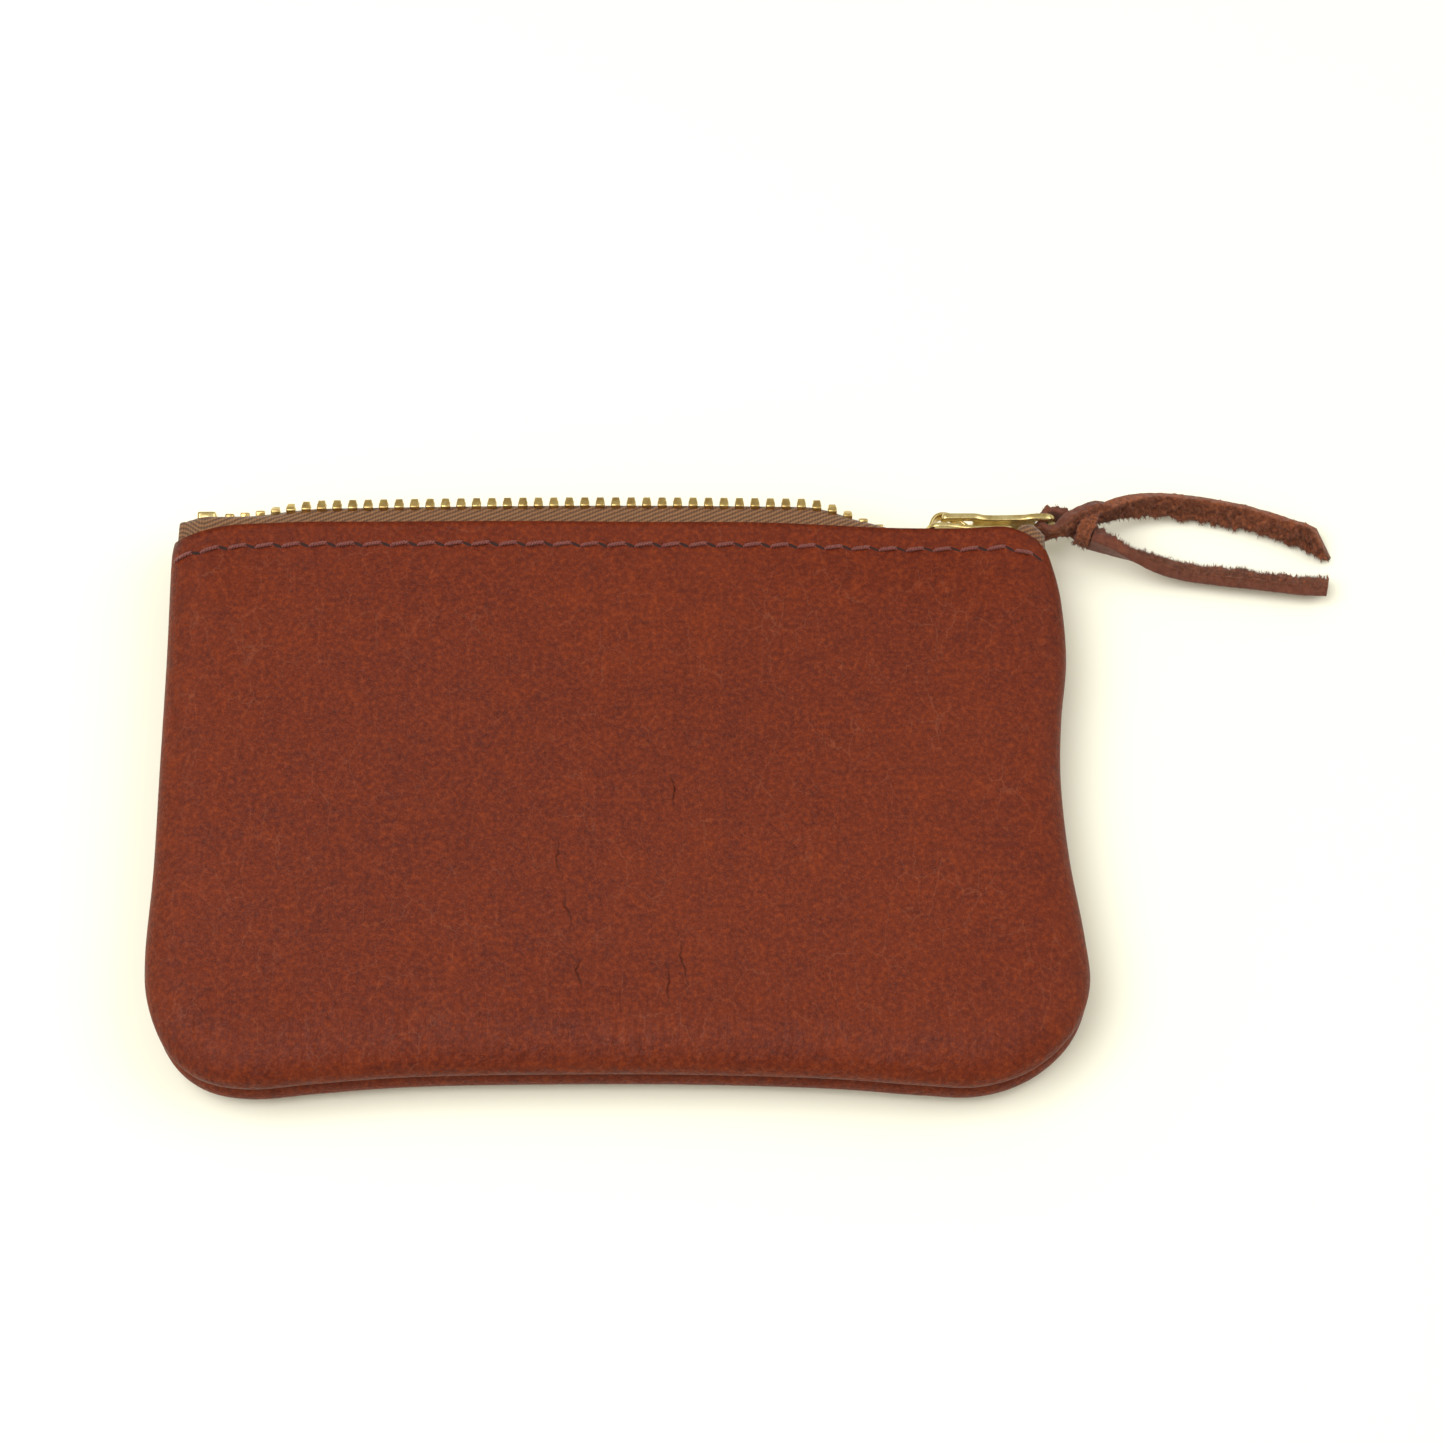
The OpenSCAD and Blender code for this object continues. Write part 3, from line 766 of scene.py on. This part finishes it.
def make_tape(name, node, back):
    xs = tape_stations()
    points, weave = [], []
    for x, step in xs:
        section = tape_section(max(x, -TAPE_END)) + np.array([0, step])
        droop = ease((-x - SIDE + 6) / 4)
        section[:, 0] = np.maximum(section[:, 0], MOUTH - 9 + 4.5 * droop) - 0.5 * droop
        for (y, w), s in zip(section, run_along(section)):
            points.append((x, y, MID + w))
            weave.append((x, s, 0))
    count = TAPE_POINTS
    faces = [(i * count + k, (i + 1) * count + k, (i + 1) * count + k + 1, i * count + k + 1)
             for i in range(len(xs) - 1) for k in range(count - 1)]
    if back:
        points, faces = turned_over(points, faces)
    piece = make_object(name, points, faces, "pouch", [TAPE])
    layer = piece.data.attributes.new("weave", "FLOAT_VECTOR", "POINT")
    layer.data.foreach_set("vector", np.array(weave, np.float32).ravel())
    shell = piece.modifiers.new("cloth", "SOLIDIFY")
    shell.thickness = TAPE_T * MM
    shell.offset = 0
    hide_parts(node)
    return piece


front_tape = make_tape("front_zip_tape", "front_tape", False)
back_tape = make_tape("back_zip_tape", "back_tape", True)


# %% [markdown]
# **Teeth.** A metal zip's tooth is a short brass bar whose two legs are squeezed onto the tape's corded
# edge. Its head is a little narrower, with rounded corners and a small raised nub that seats in the hollow
# of the tooth opposite. One tooth is modelled once and set out along the row.

# %% Teeth
def tooth_shape():
    """Rings of a tooth from its legs to its tip, as (along, half width, half thickness)."""
    half = TOOTH_T / 2 - 0.15
    return [(-0.55, 0.52, half - 0.15), (-0.42, 0.66, half - 0.02), (-0.3, 0.69, half), (0.35, 0.69, half),
            (0.5, 0.63, half - 0.03), (0.85, 0.58, half - 0.06), (1.12, 0.54, half - 0.12),
            (1.22, 0.42, half - 0.28)]


def tooth_points():
    rings = []
    for along, half_w, half_t in tooth_shape():
        outline = rounded_bar(2 * half_w, 2 * half_t, min(half_w, half_t) * 0.28, 2)
        rings += [(a, along, b) for a, b in outline]
    return np.array(rings)


def nub_points():
    """A low rounded boss on the tooth's flank."""
    out = []
    for radius, lift in ((0.34, 0.0), (0.28, 0.12), (0.12, 0.18)):
        out += [(0.5 + lift, 0.75 + radius * 0.8 * math.cos(a), radius * 1.3 * math.sin(a))
                for a in np.linspace(0, 2 * math.pi, 10, endpoint=False)]
    return np.array(out)


def place_on_edge(shape, x):
    """Stands a clamped piece on the tape's edge at x. Its own axes are across, along and through."""
    y, w = edge_point(x)
    a = turn_at(x)
    ahead = np.array([math.cos(a), -math.sin(a)])
    through = np.array([math.sin(a), math.cos(a)])
    flat = np.array([y, w]) + shape[:, 1:2] * ahead + shape[:, 2:3] * through
    return np.column_stack([x + shape[:, 0], flat[:, 0], MID + flat[:, 1]])


def make_teeth(name, node, back, shift):
    tooth, nub = tooth_points(), nub_points()
    tooth_faces = tube_faces(len(tooth_shape()), len(tooth) // len(tooth_shape()))
    nub_faces = tube_faces(3, 10)
    first = teeth_low[0] + 0.55
    count = int(round((teeth_high[0] - teeth_low[0] - 1.1) / PITCH)) + 1
    parts = [(place_on_edge(shape, first + i * PITCH + shift), own) for i in range(count)
             for shape, own in ((tooth, tooth_faces), (nub, nub_faces))]
    points, faces = joined(parts)
    if back:
        points, faces = turned_over(points, faces)
    piece = make_object(name, points, faces, "pouch", [TOOTH_BRASS])
    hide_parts(node)
    print(name, count, "teeth")
    return piece


front_row = make_teeth("front_tooth_row", "front_teeth", False, 0)
back_row = make_teeth("back_tooth_row", "back_teeth", True, -PITCH / 2)


# %% [markdown]
# **Stops.** A top stop is a flat brass clip pinched over each tape's end. The bottom stop is a small block
# that holds both tapes' ends together behind the slider. A rounded block is a stack of rounded outlines,
# drawn in at both ends.

# %% Stops
def soft_block(size, radius):
    """A block with rounded edges, centred, as (points, faces)."""
    long, wide, thick = size
    rings = []
    for share, inset in ((-1, radius), (-1 + radius / wide, radius * 0.3), (-1 + 2 * radius / wide, 0),
                         (1 - 2 * radius / wide, 0), (1 - radius / wide, radius * 0.3), (1, radius)):
        outline = rounded_bar(long - 2 * inset, thick - 2 * inset, radius, 3)
        rings += [(a, share * wide / 2, b) for a, b in outline]
    return np.array(rings), tube_faces(6, 16)


def make_top_stop(name, node, back):
    shape, faces = soft_block((stop_high[0] - stop_low[0], 2.2, TOOTH_T + 0.3), 0.3)
    shape[:, 1] += 0.15
    points = place_on_edge(shape, (stop_low[0] + stop_high[0]) / 2)
    if back:
        points, faces = turned_over(points, faces)
    piece = make_object(name, points, faces, "pouch", [BRASS])
    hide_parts(node)
    return piece


front_stop = make_top_stop("front_stop_clip", "front_top_stop", False)
back_stop = make_top_stop("back_stop_clip", "back_top_stop", True)

block, block_faces = soft_block(end_high - end_low, 0.35)
block_stop = make_object("bottom_stop_block", block + (end_low + end_high) / 2, block_faces, "pouch", [BRASS])
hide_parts("bottom_stop")


# %% [markdown]
# ** Stitches.** The line along the mouth is a lockstitch in twisted thread. Each stitch lies on the leather,
# slanted a little, and dives into a needle hole at each end, where the leather puckers into a slit whose
# shade is painted as a dark lens. Two plies are swept as thin tubes twisted round each other, and they follow
# the panel's own height.

# %% Thread helpers
THREAD_R = 0.19
STITCH_PITCH = 4.12


def twisted(line, turns, radius, sides=6):
    """Two plies wound round a line, as (points, faces)."""
    line = np.array(line, float)
    ahead = heading(line)
    side = unit(np.cross(ahead, [0, 0, 1]))
    up = np.cross(side, ahead)
    points, faces = [], []
    for ply in (0, math.pi):
        a = np.linspace(0, 2 * math.pi * turns, len(line)) + ply
        wound = line + radius * 0.85 * (np.cos(a)[:, None] * side + np.sin(a)[:, None] * up)
        start = sum(len(p) for p in points)
        points.append(sections(wound, (0.01, 0.02, 1), circle(radius, sides)))
        faces += tube_faces(len(line), sides, start)
    return np.vstack(points), faces


# %% [markdown]
# The stitches along the mouth go through leather and tape together, and the dark slits between them
# are painted shade in the needle's holes.

# %% Mouth stitches
def stitch_line_y(x):
    """The line follows the mouth's edge, a little closer at the ends."""
    return MOUTH - 4.0 - 0.75 * (MOUTH - mouth_edge(x))


def mouth_stitch(x):
    """One stitch that starts at x."""
    share = np.linspace(0, 1, 15)
    xs = x + 2.75 * share
    ys = stitch_line_y(xs) - 0.22 + 0.5 * share
    lift = 0.26 - 0.8 * (2 * share - 1) ** 8
    heights = panel_height(np.column_stack([xs, ys])) + lift
    return twisted(np.column_stack([xs, ys, heights]), 3.2, THREAD_R)


def needle_hole_shade(x):
    """Painted shade in the needle hole between two stitches: a dark lens lying on the leather."""
    share = np.linspace(0, 1, 9)
    xs = x + 2.5 + 1.75 * share
    ys = stitch_line_y(xs) + 0.38 - 0.75 * share
    half = 0.27 * np.sin(math.pi * share) ** 0.7 + 0.01
    heights = panel_height(np.column_stack([xs, ys])) + 0.015
    points = np.vstack([np.column_stack([xs, ys + half, heights]), np.column_stack([xs, ys - half, heights])])
    faces = [(k + 9, k + 10, k + 1, k) for k in range(8)]
    return points, faces


def make_mouth_line(name, node, back):
    starts = np.arange(-SIDE + 1.6, SIDE - 5.4, STITCH_PITCH)
    for label, make, material in ((name, mouth_stitch, THREAD), (name + "_hole_shade", needle_hole_shade, HOLE_SHADE)):
        points, faces = joined([make(x) for x in starts])
        if back:
            points, faces = turned_over(points, faces)
            points[:, 2] = np.maximum(points[:, 2], 0.0)
        piece = make_object(label, points, faces, "pouch", [material])
        if material is THREAD:
            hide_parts(node)
    print(name, len(starts), "stitches")


make_mouth_line("front_mouth_stitches", "front_topstitch", False)
make_mouth_line("back_mouth_stitches", "back_topstitch", True)


# %% [markdown]
# The inside seam is sewn before the pouch is turned, so only short bars of its thread show, down in
# the groove between the two rolled edges.

# %% Seam stitches
def make_seam():
    total = length_of(edge_line)
    shares = np.arange(15, total - 15, STITCH_PITCH / 2) / total
    places = spaced(edge_line, shares)
    ahead = spaced(edge_line, np.minimum(shares + 0.002, 1)) - places
    parts = []
    for p, d in zip(places, ahead):
        inward = np.array([-d[1], d[0]]) / np.linalg.norm(d)
        foot = p + inward * 1.55
        slide = d / np.linalg.norm(d) * 0.35
        line = [(*(foot - slide + inward * 0.5), MID - 0.75),
                (*(foot - slide * 0.5 - inward * 0.15), MID - 0.3),
                (*(foot + slide * 0.5 - inward * 0.15), MID + 0.3),
                (*(foot + slide + inward * 0.5), MID + 0.75)]
        parts.append((sections(line, (1, 0, 0.01), circle(0.26, 6)), tube_faces(4, 6)))
    points, faces = joined(parts)
    piece = make_object("seam_stitches", points, faces, "pouch", [THREAD])
    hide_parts("seam_thread")
    print("seam stitches", len(parts))


make_seam()


# %% [markdown]
# **Slider.** A brass casting: two plates joined by a wedge at the nose, with lips that hold the chain in.
# Plates are flat pieces with rounded rims, so they are drawn as filled outlines with a bevel, the way
# a curve object makes them, and then turned to mesh.

# %% Flat pieces with rounded rims
def flat_piece(outlines, thickness, bevel):
    """Filled outlines, with later ones as holes, given thickness and a rounded rim: (points, faces) in mm."""
    curve = bpy.data.curves.new("outline", "CURVE")
    curve.dimensions = "2D"
    curve.fill_mode = "BOTH"
    curve.extrude = thickness / 2 - bevel
    curve.bevel_depth = bevel
    curve.bevel_resolution = 2
    curve.offset = -bevel
    for outline in outlines:
        spline = curve.splines.new("POLY")
        spline.points.add(len(outline) - 1)
        for point, (a, b) in zip(spline.points, outline):
            point.co = (a, b, 0, 1)
        spline.use_cyclic_u = True
    holder = placed("outline", curve)
    bpy.context.view_layer.update()
    made = bpy.data.meshes.new_from_object(holder.evaluated_get(bpy.context.evaluated_depsgraph_get()))
    points = np.array([tuple(v.co) for v in made.vertices])
    faces = [tuple(f.vertices) for f in made.polygons]
    bpy.data.objects.remove(holder)
    bpy.data.curves.remove(curve)
    bpy.data.meshes.remove(made)
    return points, faces


def lay_across(points, origin):
    """Turns a flat piece from its own plane to the XZ plane, facing the mouth."""
    points = np.array(points, float)
    return np.column_stack([points[:, 0], -points[:, 2], points[:, 1]]) + np.array(origin, float)


def slider_outline():
    nose = (slider_high[2] - slider_low[2]) / 2
    tail = 2.9
    half = [(0.0, nose - 1.9), (0.25, nose - 1.1), (0.8, nose - 0.4), (1.7, nose), (3.6, nose - 0.15),
            (6.2, tail + 0.35), (8.4, tail), (SLIDER_L - 1.0, tail), (SLIDER_L - 0.3, tail - 0.4),
            (SLIDER_L, tail - 1.1)]
    return [tuple(p) for p in smooth_line(half + [(a, -b) for a, b in half[::-1]], 90)]


# %% [markdown]
# The two plates share one outline, broad at the nose where the rows spread and narrow where they leave
# locked. The lips are bars swept along the plates' sides, and the wedge between the plates parts the rows.

# %% Slider body
PLATE = 0.8
GAP = slider_high[1] - slider_low[1] - 2 * PLATE


def make_slider():
    parts = []
    for side in (-1, 1):
        points, faces = flat_piece([slider_outline()], PLATE, 0.22)
        parts.append((lay_across(points, (SLIDER_X, CHAIN + side * (GAP + PLATE) / 2, MID)), faces))
        for lip in (-1, 1):
            walk = [(a, lip * (abs(b) - 0.28)) for a, b in slider_outline()[6:40]]
            line = [(SLIDER_X + a, CHAIN + side * (GAP / 2 - 0.3), MID + b) for a, b in walk]
            parts.append((sections(line, (0, 1, 0), rounded_bar(0.85, 0.5, 0.15)), tube_faces(len(line), 16)))
    wedge = [(0.15, 0.62), (0.6, 0.74), (2.4, 0.36), (4.2, 0.08), (4.2, -0.08), (2.4, -0.36), (0.6, -0.74),
             (0.15, -0.62)]
    points, faces = flat_piece([wedge], GAP + 0.4, 0.05)
    parts.append((lay_across(points, (SLIDER_X, CHAIN, MID)), faces))
    points, faces = joined(parts)
    piece = make_object("slider_casting", points, faces, "slider", [BRASS], smooth=False)
    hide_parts("slider_body")
    return piece


slider = make_slider()

# %% [markdown]
# **Bail and pull tab.** The bail is a narrow strap: steep at the nose, then falling away to the tail. The
# tab hangs on it by a round crossbar, and the strap passes through a window in the tab. At its far end
# is the eye for the thong.

# %% Bail
BAIL_LINE = [(0.0, -0.02), (0.04, 0.35), (0.1, 0.68), (0.19, 0.87), (0.3, 0.92), (0.43, 0.86), (0.56, 0.68),
             (0.68, 0.46), (0.82, 0.2), (0.93, 0.04), (1.0, -0.03)]


def make_bail():
    long, high = bail_high[0] - bail_low[0], bail_high[1] - bail_low[1]
    line = smooth_line([(bail_low[0] + 0.25 + a * (long - 0.5), bail_low[1] + b * high, MID)
                        for a, b in BAIL_LINE], 44)
    wide = bail_high[2] - bail_low[2]
    points = sections(line, (0, 0, 1), rounded_bar(wide, 0.5, 0.18))
    piece = make_object("bail_strap", points, tube_faces(44, 16), "slider", [BRASS])
    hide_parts("slider_bail")


make_bail()

# %% [markdown]
# The tab is stamped from sheet brass: an outline with two holes, a window for the bail and an eye for the
# thong. Its crossbar is round, so it turns freely in the bail.

# %% Pull tab
TAB_PIVOT = [j for j in frame["joints"] if j["name"] == "tab_flip"][0]["pos_m"]
THONG_PIVOT = [j for j in frame["joints"] if j["name"] == "thong_swing"][0]["pos_m"]
pivot = np.array(TAB_PIVOT) / MM
rim = np.array(THONG_PIVOT) / MM


def round_box(x0, x1, half, radius):
    """A rectangle with rounded corners, from x0 to x1."""
    return [((x0 + x1) / 2 + a, b) for a, b in rounded_bar(x1 - x0, 2 * half, radius, 6)]


def make_tab():
    end = tab_high[0] - pivot[0]
    half = (tab_high[2] - tab_low[2]) / 2
    shape = [(-0.5, half - 0.9), (-0.35, half - 0.25), (0.2, half), (4.6, half), (6.5, half - 0.55),
             (end - 5.5, half - 0.45), (end - 3.5, half - 0.05), (end - 1.2, half - 0.1),
             (end - 0.3, half - 0.8), (end, half - 1.5)]
    outer = smooth_line(shape + [(a, -b) for a, b in shape[::-1]], 110)
    window = round_box(0.45, 4.4, 1.35, 0.5)
    eye = round_box(end - 1.4 - 1.7, end - 1.4, 1.4, 0.55)
    points, faces = flat_piece([outer, window, eye], 1.0, 0.2)
    bar_line = [(0, 0, z) for z in np.linspace(-half + 0.4, half - 0.4, 6)]
    bar = sections(bar_line, (1, 0, 0), circle(0.55, 20)) + pivot
    points, faces = joined([(lay_across(points, pivot), faces), (bar, tube_faces(6, 20))])
    piece = make_object("tab_bar", points, faces, "tab", [BRASS], smooth=False)
    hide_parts("pull_tab")
    return piece


tab = make_tab()
for piece in (slider, tab):
    rounding = piece.modifiers.new("soft shading", "EDGE_SPLIT")
    rounding.split_angle = math.radians(40)
    piece.data.polygons.foreach_set("use_smooth", [True] * len(piece.data.polygons))


# %% [markdown]
# **Thong.** One leather lace is folded in half, pushed through the eye, and its ends are drawn through
# the loop, which makes a lark's head knot. The two tails spring apart and lie on the table, standing
# partly on edge, with their suede sides towards each other. Each tail is a strip 3.5 mm wide swept
# along its route, and its suede side is roughened in the mesh itself so that its outline looks napped.

# %% Thong routes
THONG_W = 3.5
THONG_T = 1.6
knot_high = corners("thong_knot")[1]
START_X = knot_high[0] - 0.6
KNOT_Y = rim[1] - 1
UPPER_START = np.array([START_X, KNOT_Y + 2.0, MID])
LOWER_START = np.array([START_X, KNOT_Y - 2.0, MID])
UPPER_ROUTE = [
    (0, 0, 0), (3, 1.4, -0.5), (6.5, 2.8, -1.5), (11, 3.8, -2.9), (15, 4, -3.8),
    (20, 3.3, -4), (25, 2.1, -4), (30, 0.4, -4), (34.5, -1.5, -4), (38.3, -3.7, -4)]
LOWER_ROUTE = [
    (0, 0, 0), (3, -0.8, -0.6), (6.5, -1.8, -1.7), (11, -2.9, -3), (15, -3.6, -3.8),
    (20, -4.3, -4), (25, -4.9, -4), (30, -5.6, -4), (34, -6, -4), (37.2, -6.1, -4)]
UPPER_TILT = 125
LOWER_TILT = 40
print("tails", round(length_of(UPPER_ROUTE), 1), "and", round(length_of(LOWER_ROUTE), 1), "mm")


# %% [markdown]
# A lace is a flat strip swept along its line. One face is pushed in and out at random and carries
# short fibres, because suede is a cut and brushed surface that only shows at the outline.

# %% Lace sweep
def lace_outline(width, thickness, per_face=12):
    """A strip's section, with many points on its two wide faces. The first half is the suede face."""
    half_w, half_t = width / 2, thickness / 2
    face = np.linspace(1, -1, per_face)
    suede = [(half_w * f * 0.97, half_t) for f in face]
    edge = [(-half_w, half_t * f) for f in (0.6, 0, -0.6)]
    grain = [(-half_w * f * 0.97, -half_t) for f in face]
    other = [(half_w, half_t * f) for f in (-0.6, 0, 0.6)]
    return suede + edge + grain + other


def lace_frame(line, tilt):
    """The strip's wide direction at each point of its line."""
    ahead = heading(line)
    side = unit(np.cross(ahead, [0, 0, 1]))
    up = np.cross(side, ahead)
    a = np.radians(tilt)
    return side * np.cos(a)[:, None] + up * np.sin(a)[:, None]


def roughen(points, ahead_count, sides, suede, depth, seed):
    """Moves the suede points in and out along the strip's own thickness."""
    rng = np.random.default_rng(seed)
    grid_points = points.reshape(ahead_count, sides, 3)
    centre = grid_points.mean(axis=1, keepdims=True)
    out = unit(grid_points - centre)
    amount = rng.normal(0, depth, (ahead_count, sides, 1))
    tuft = rng.normal(0, depth, (ahead_count + 2, sides + 2, 1))
    amount = 0.6 * amount + 0.6 * (tuft[:-2, :-2] + tuft[1:-1, :-2] + tuft[2:, :-2] + tuft[:-2, 1:-1]
                                   + tuft[1:-1, 1:-1] + tuft[2:, 1:-1])
    amount = amount * np.array(suede)[None, :, None]
    return (grid_points + out * amount).reshape(-1, 3)


def nap(points, count, sides, number, seed):
    """Short raised fibres on the suede face: thin three-sided spikes, as (points, faces)."""
    rng = np.random.default_rng(seed)
    rings = points.reshape(count, sides, 3)
    centre = rings.mean(axis=1)
    at_ring = rng.integers(1, count - 1, number)
    at_side = rng.integers(0, 12, number)
    foot = rings[at_ring, at_side] + rng.normal(0, 0.08, (number, 3))
    grow = unit(rings[at_ring, 2:10].mean(axis=1) - centre[at_ring])
    edge = np.abs(at_side - 5.5) / 5.5
    away = unit(foot - centre[at_ring])
    grow = unit(grow + away * edge[:, None] + rng.normal(0, 0.55, (number, 3)))
    tips = foot + grow * rng.uniform(0.2, 0.7, (number, 1))
    spread = rng.normal(0, 1, (number, 3, 3))
    spread -= (spread * grow[:, None]).sum(2)[..., None] * grow[:, None]
    spread *= 0.07 / np.linalg.norm(spread, axis=2)[..., None]
    feet = foot[:, None] - grow[:, None] * 0.08 + spread
    out = np.concatenate([feet, tips[:, None]], axis=1).reshape(-1, 3)
    faces = [(4 * k + i, 4 * k + (i + 1) % 3, 4 * k + 3) for k in range(number) for i in range(3)]
    return out, faces, [0] * len(faces)


def lace(line, tilt, width, thickness, seed, taper=None, flip=False):
    """A lace along a line: (points, faces, which faces are suede)."""
    outline = lace_outline(width, thickness if not flip else -thickness)
    if flip:
        outline = [(-a, b) for a, b in outline]
    sides = len(outline)
    wide = lace_frame(line, tilt)
    points = sections(line, wide, outline, taper)
    suede = [1.0 if k < 12 else (0.6 if k in (12, 14, 27, 29) else 0.25 if k in (13, 28) else 0.1)
             for k in range(sides)]
    points = roughen(points, len(line), sides, suede, 0.15, seed)
    faces = tube_faces(len(line), sides)
    kinds = [0 if (n % sides) < 11 or (n % sides) >= 26 or n >= (len(line) - 1) * sides else 1
             for n in range(len(faces))]
    return points, faces, kinds


def make_lace(name, node, parts):
    points, faces = joined([(p, f) for p, f, _ in parts])
    piece = make_object(name, points, faces, "thong", [SUEDE, THONG_GRAIN])
    kinds = [k for _, _, own in parts for k in own]
    piece.data.polygons.foreach_set("material_index", kinds[:len(piece.data.polygons)])
    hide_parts(node)
    return piece


# %% [markdown]
# Each tail starts upright in the knot and twists to its own tilt. Its end is sheared, as scissors leave it.

# %% Tails
TAIL_RINGS = 150
CUT_RINGS = 26


def make_tail(name, node, start, route, tilt, cut, seed, flip):
    line = smooth_line(np.array(route) + start, TAIL_RINGS)
    tilts = mix(88, tilt, ease(np.linspace(0, 1, TAIL_RINGS) / 0.35))
    points, faces, kinds = lace(line, tilts, THONG_W, THONG_T, seed, flip=flip)
    # the last few millimetres are sheared to the scissors' cut
    grid_points = points.reshape(TAIL_RINGS, -1, 3)
    ahead = unit(line[-1] - line[-2])
    wide = lace_frame(line, tilts)[-1]
    for back_from_end in range(CUT_RINGS):
        ring = grid_points[-1 - back_from_end]
        lean = ((ring - line[-1 - back_from_end]) @ wide) / THONG_W
        ring -= ahead * (cut * (lean + 0.5) * (1 - back_from_end / CUT_RINGS))[:, None]
    points = grid_points.reshape(-1, 3)
    fibres = nap(points, TAIL_RINGS, grid_points.shape[1], 4200, seed)
    piece = make_lace(name, node, [(points, faces, kinds), fibres])
    path = [tuple(p * MM) for p in smooth_line(np.array(route) + start, 32)]


make_tail("upper_tail", "thong_upper_tail", UPPER_START, UPPER_ROUTE, UPPER_TILT, 4.0, 5, False)
make_tail("lower_tail", "thong_lower_tail", LOWER_START, LOWER_ROUTE, LOWER_TILT, 0.8, 9, True)


# %% [markdown]
# The knot is the lace's own loop, which goes through the tab's eye and back, and a band that crosses it.
# The loop narrows where it is pinched in the eye.

# %% Lark's head knot
LOOP = [(9.4, 2.2, -0.2), (7.6, 1.7, 0.7), (5.6, 0.7, 1.5), (3.2, -0.6, 1.7), (1.1, -1.75, 0.8),
        (-0.7, -1.5, 0.1),
        (-1.5, -0.2, 0), (-0.8, 1.35, -0.1), (1.0, 1.75, -0.4), (3.2, 0.5, -1.1), (5.4, -1.5, -0.9),
        (7.4, -2.7, -0.4), (9.4, -3.6, -0.5)]


LOOP_RINGS = 130
BAND_RINGS = 80


def make_knot():
    centre = np.array([rim[0], rim[1], MID])
    loop = smooth_line(np.array(LOOP) + centre, LOOP_RINGS)
    share = np.linspace(0, 1, LOOP_RINGS)
    tilts = np.interp(share, [0, 0.3, 0.5, 0.7, 1], [62, 70, 90, 110, 118])
    inside = ease((share - 0.28) / 0.1) * ease((0.72 - share) / 0.1)
    sunk = 1 - 0.35 * ease(1 - share * 9) - 0.35 * ease(1 - (1 - share) * 9)
    loop_part = lace(loop, tilts, 3.3, 1.5, 21, taper=sunk * (1 - 0.3 * inside), flip=True)
    turn = np.linspace(-1.9, 2 * math.pi - 1.5, BAND_RINGS)
    band = centre + np.column_stack([5.6 + 0.9 * np.cos(turn), -0.9 + 2.2 * np.cos(turn), 1.9 * np.sin(turn)])
    outline = lace_outline(2.3, 1.2)
    sides = len(outline)
    points = sections(band, (1, -0.4, 0), outline)
    points = roughen(points, BAND_RINGS, sides, [1.0 if k < 12 else 0.3 for k in range(sides)], 0.12, 31)
    faces = tube_faces(BAND_RINGS, sides)
    walls = (BAND_RINGS - 1) * sides
    band_part = points, faces, [0 if (n % sides) < 11 or n >= walls else 1 for n in range(len(faces))]
    make_lace("larks_head_knot", "thong_knot", [
        loop_part, band_part, nap(loop_part[0], LOOP_RINGS, sides, 900, 41),
        nap(points, BAND_RINGS, sides, 700, 43)])


make_knot()

# %% [markdown]
# ** Motion.** The rows of a real zip bend towards each other as the slider passes, and a real row only
# bends where the slider has passed. Here each row, its tape and its stop are only given a mesh of their own.

# %% Own meshes for the rows
FRONT_HALF = front_tape, front_row, front_stop
BACK_HALF = back_tape, back_row, back_stop
for flip, pieces in ((1, FRONT_HALF), (-1, BACK_HALF)):
    for piece in pieces:
        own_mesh(piece)

# %% [markdown]
# **Table and light.** A warm white table, a big softbox above and to the left, a smaller one to the right,
# and a soft, warm surround, as in a light tent.

# %% Stage and lights
def make_table():
    mesh = bpy.data.meshes.new("table")
    reach = 3.0
    mesh.from_pydata([(-reach, -reach, 0), (reach, -reach, 0), (reach, reach, 0), (-reach, reach, 0)], [],
                     [(0, 1, 2, 3)])
    table = placed("table", mesh)
    material, tree, surface = new_material("white_card")
    fill(tree, surface, Base_Color=linear("#FCFBEA"), Roughness=0.8)
    mesh.materials.append(material)


def add_softbox(name, place, size, power):
    data = bpy.data.lights.new(name, "AREA")
    data.shape = "DISK"
    data.size = size
    data.energy = power
    lamp = placed(name, data)
    lamp.location = place
    lamp.rotation_euler = (TARGET - Vector(place)).to_track_quat("-Z", "Y").to_euler()


def make_tent():
    """A nearly even surround, a little brighter overhead."""
    world = bpy.data.worlds.new("tent")
    world.use_nodes = True
    tree = world.node_tree
    around = add(tree, "TexCoord")
    place = add(tree, "SeparateXYZ", Vector=around.outputs["Generated"])
    level = add(tree, "Math", TIMES_PLUS, i0=place.outputs["Y"], i1=0.35, i2=place.outputs["Z"])
    level = add(tree, "Math", TIMES_PLUS, i0=level, i1=0.5, i2=0.5)
    whites = {"stops": ((0.3, "#BCB8A8"), (0.6, "#B6B3A6"), (0.9, "#C6C4B8"))}
    shade = add(tree, "ValToRGB", whites, Fac=level)
    fill(tree, tree.nodes["Background"], Color=shade, Strength=1.0)
    bpy.context.scene.world = world


make_table()
add_softbox("top_softbox", (-0.45, -0.1, 0.95), 1.0, 9)
add_softbox("right_softbox", (0.7, 0.1, 0.7), 0.8, 3)
make_tent()
bpy.context.scene.view_settings.view_transform = "Standard"
print("table, two softboxes and a tent")
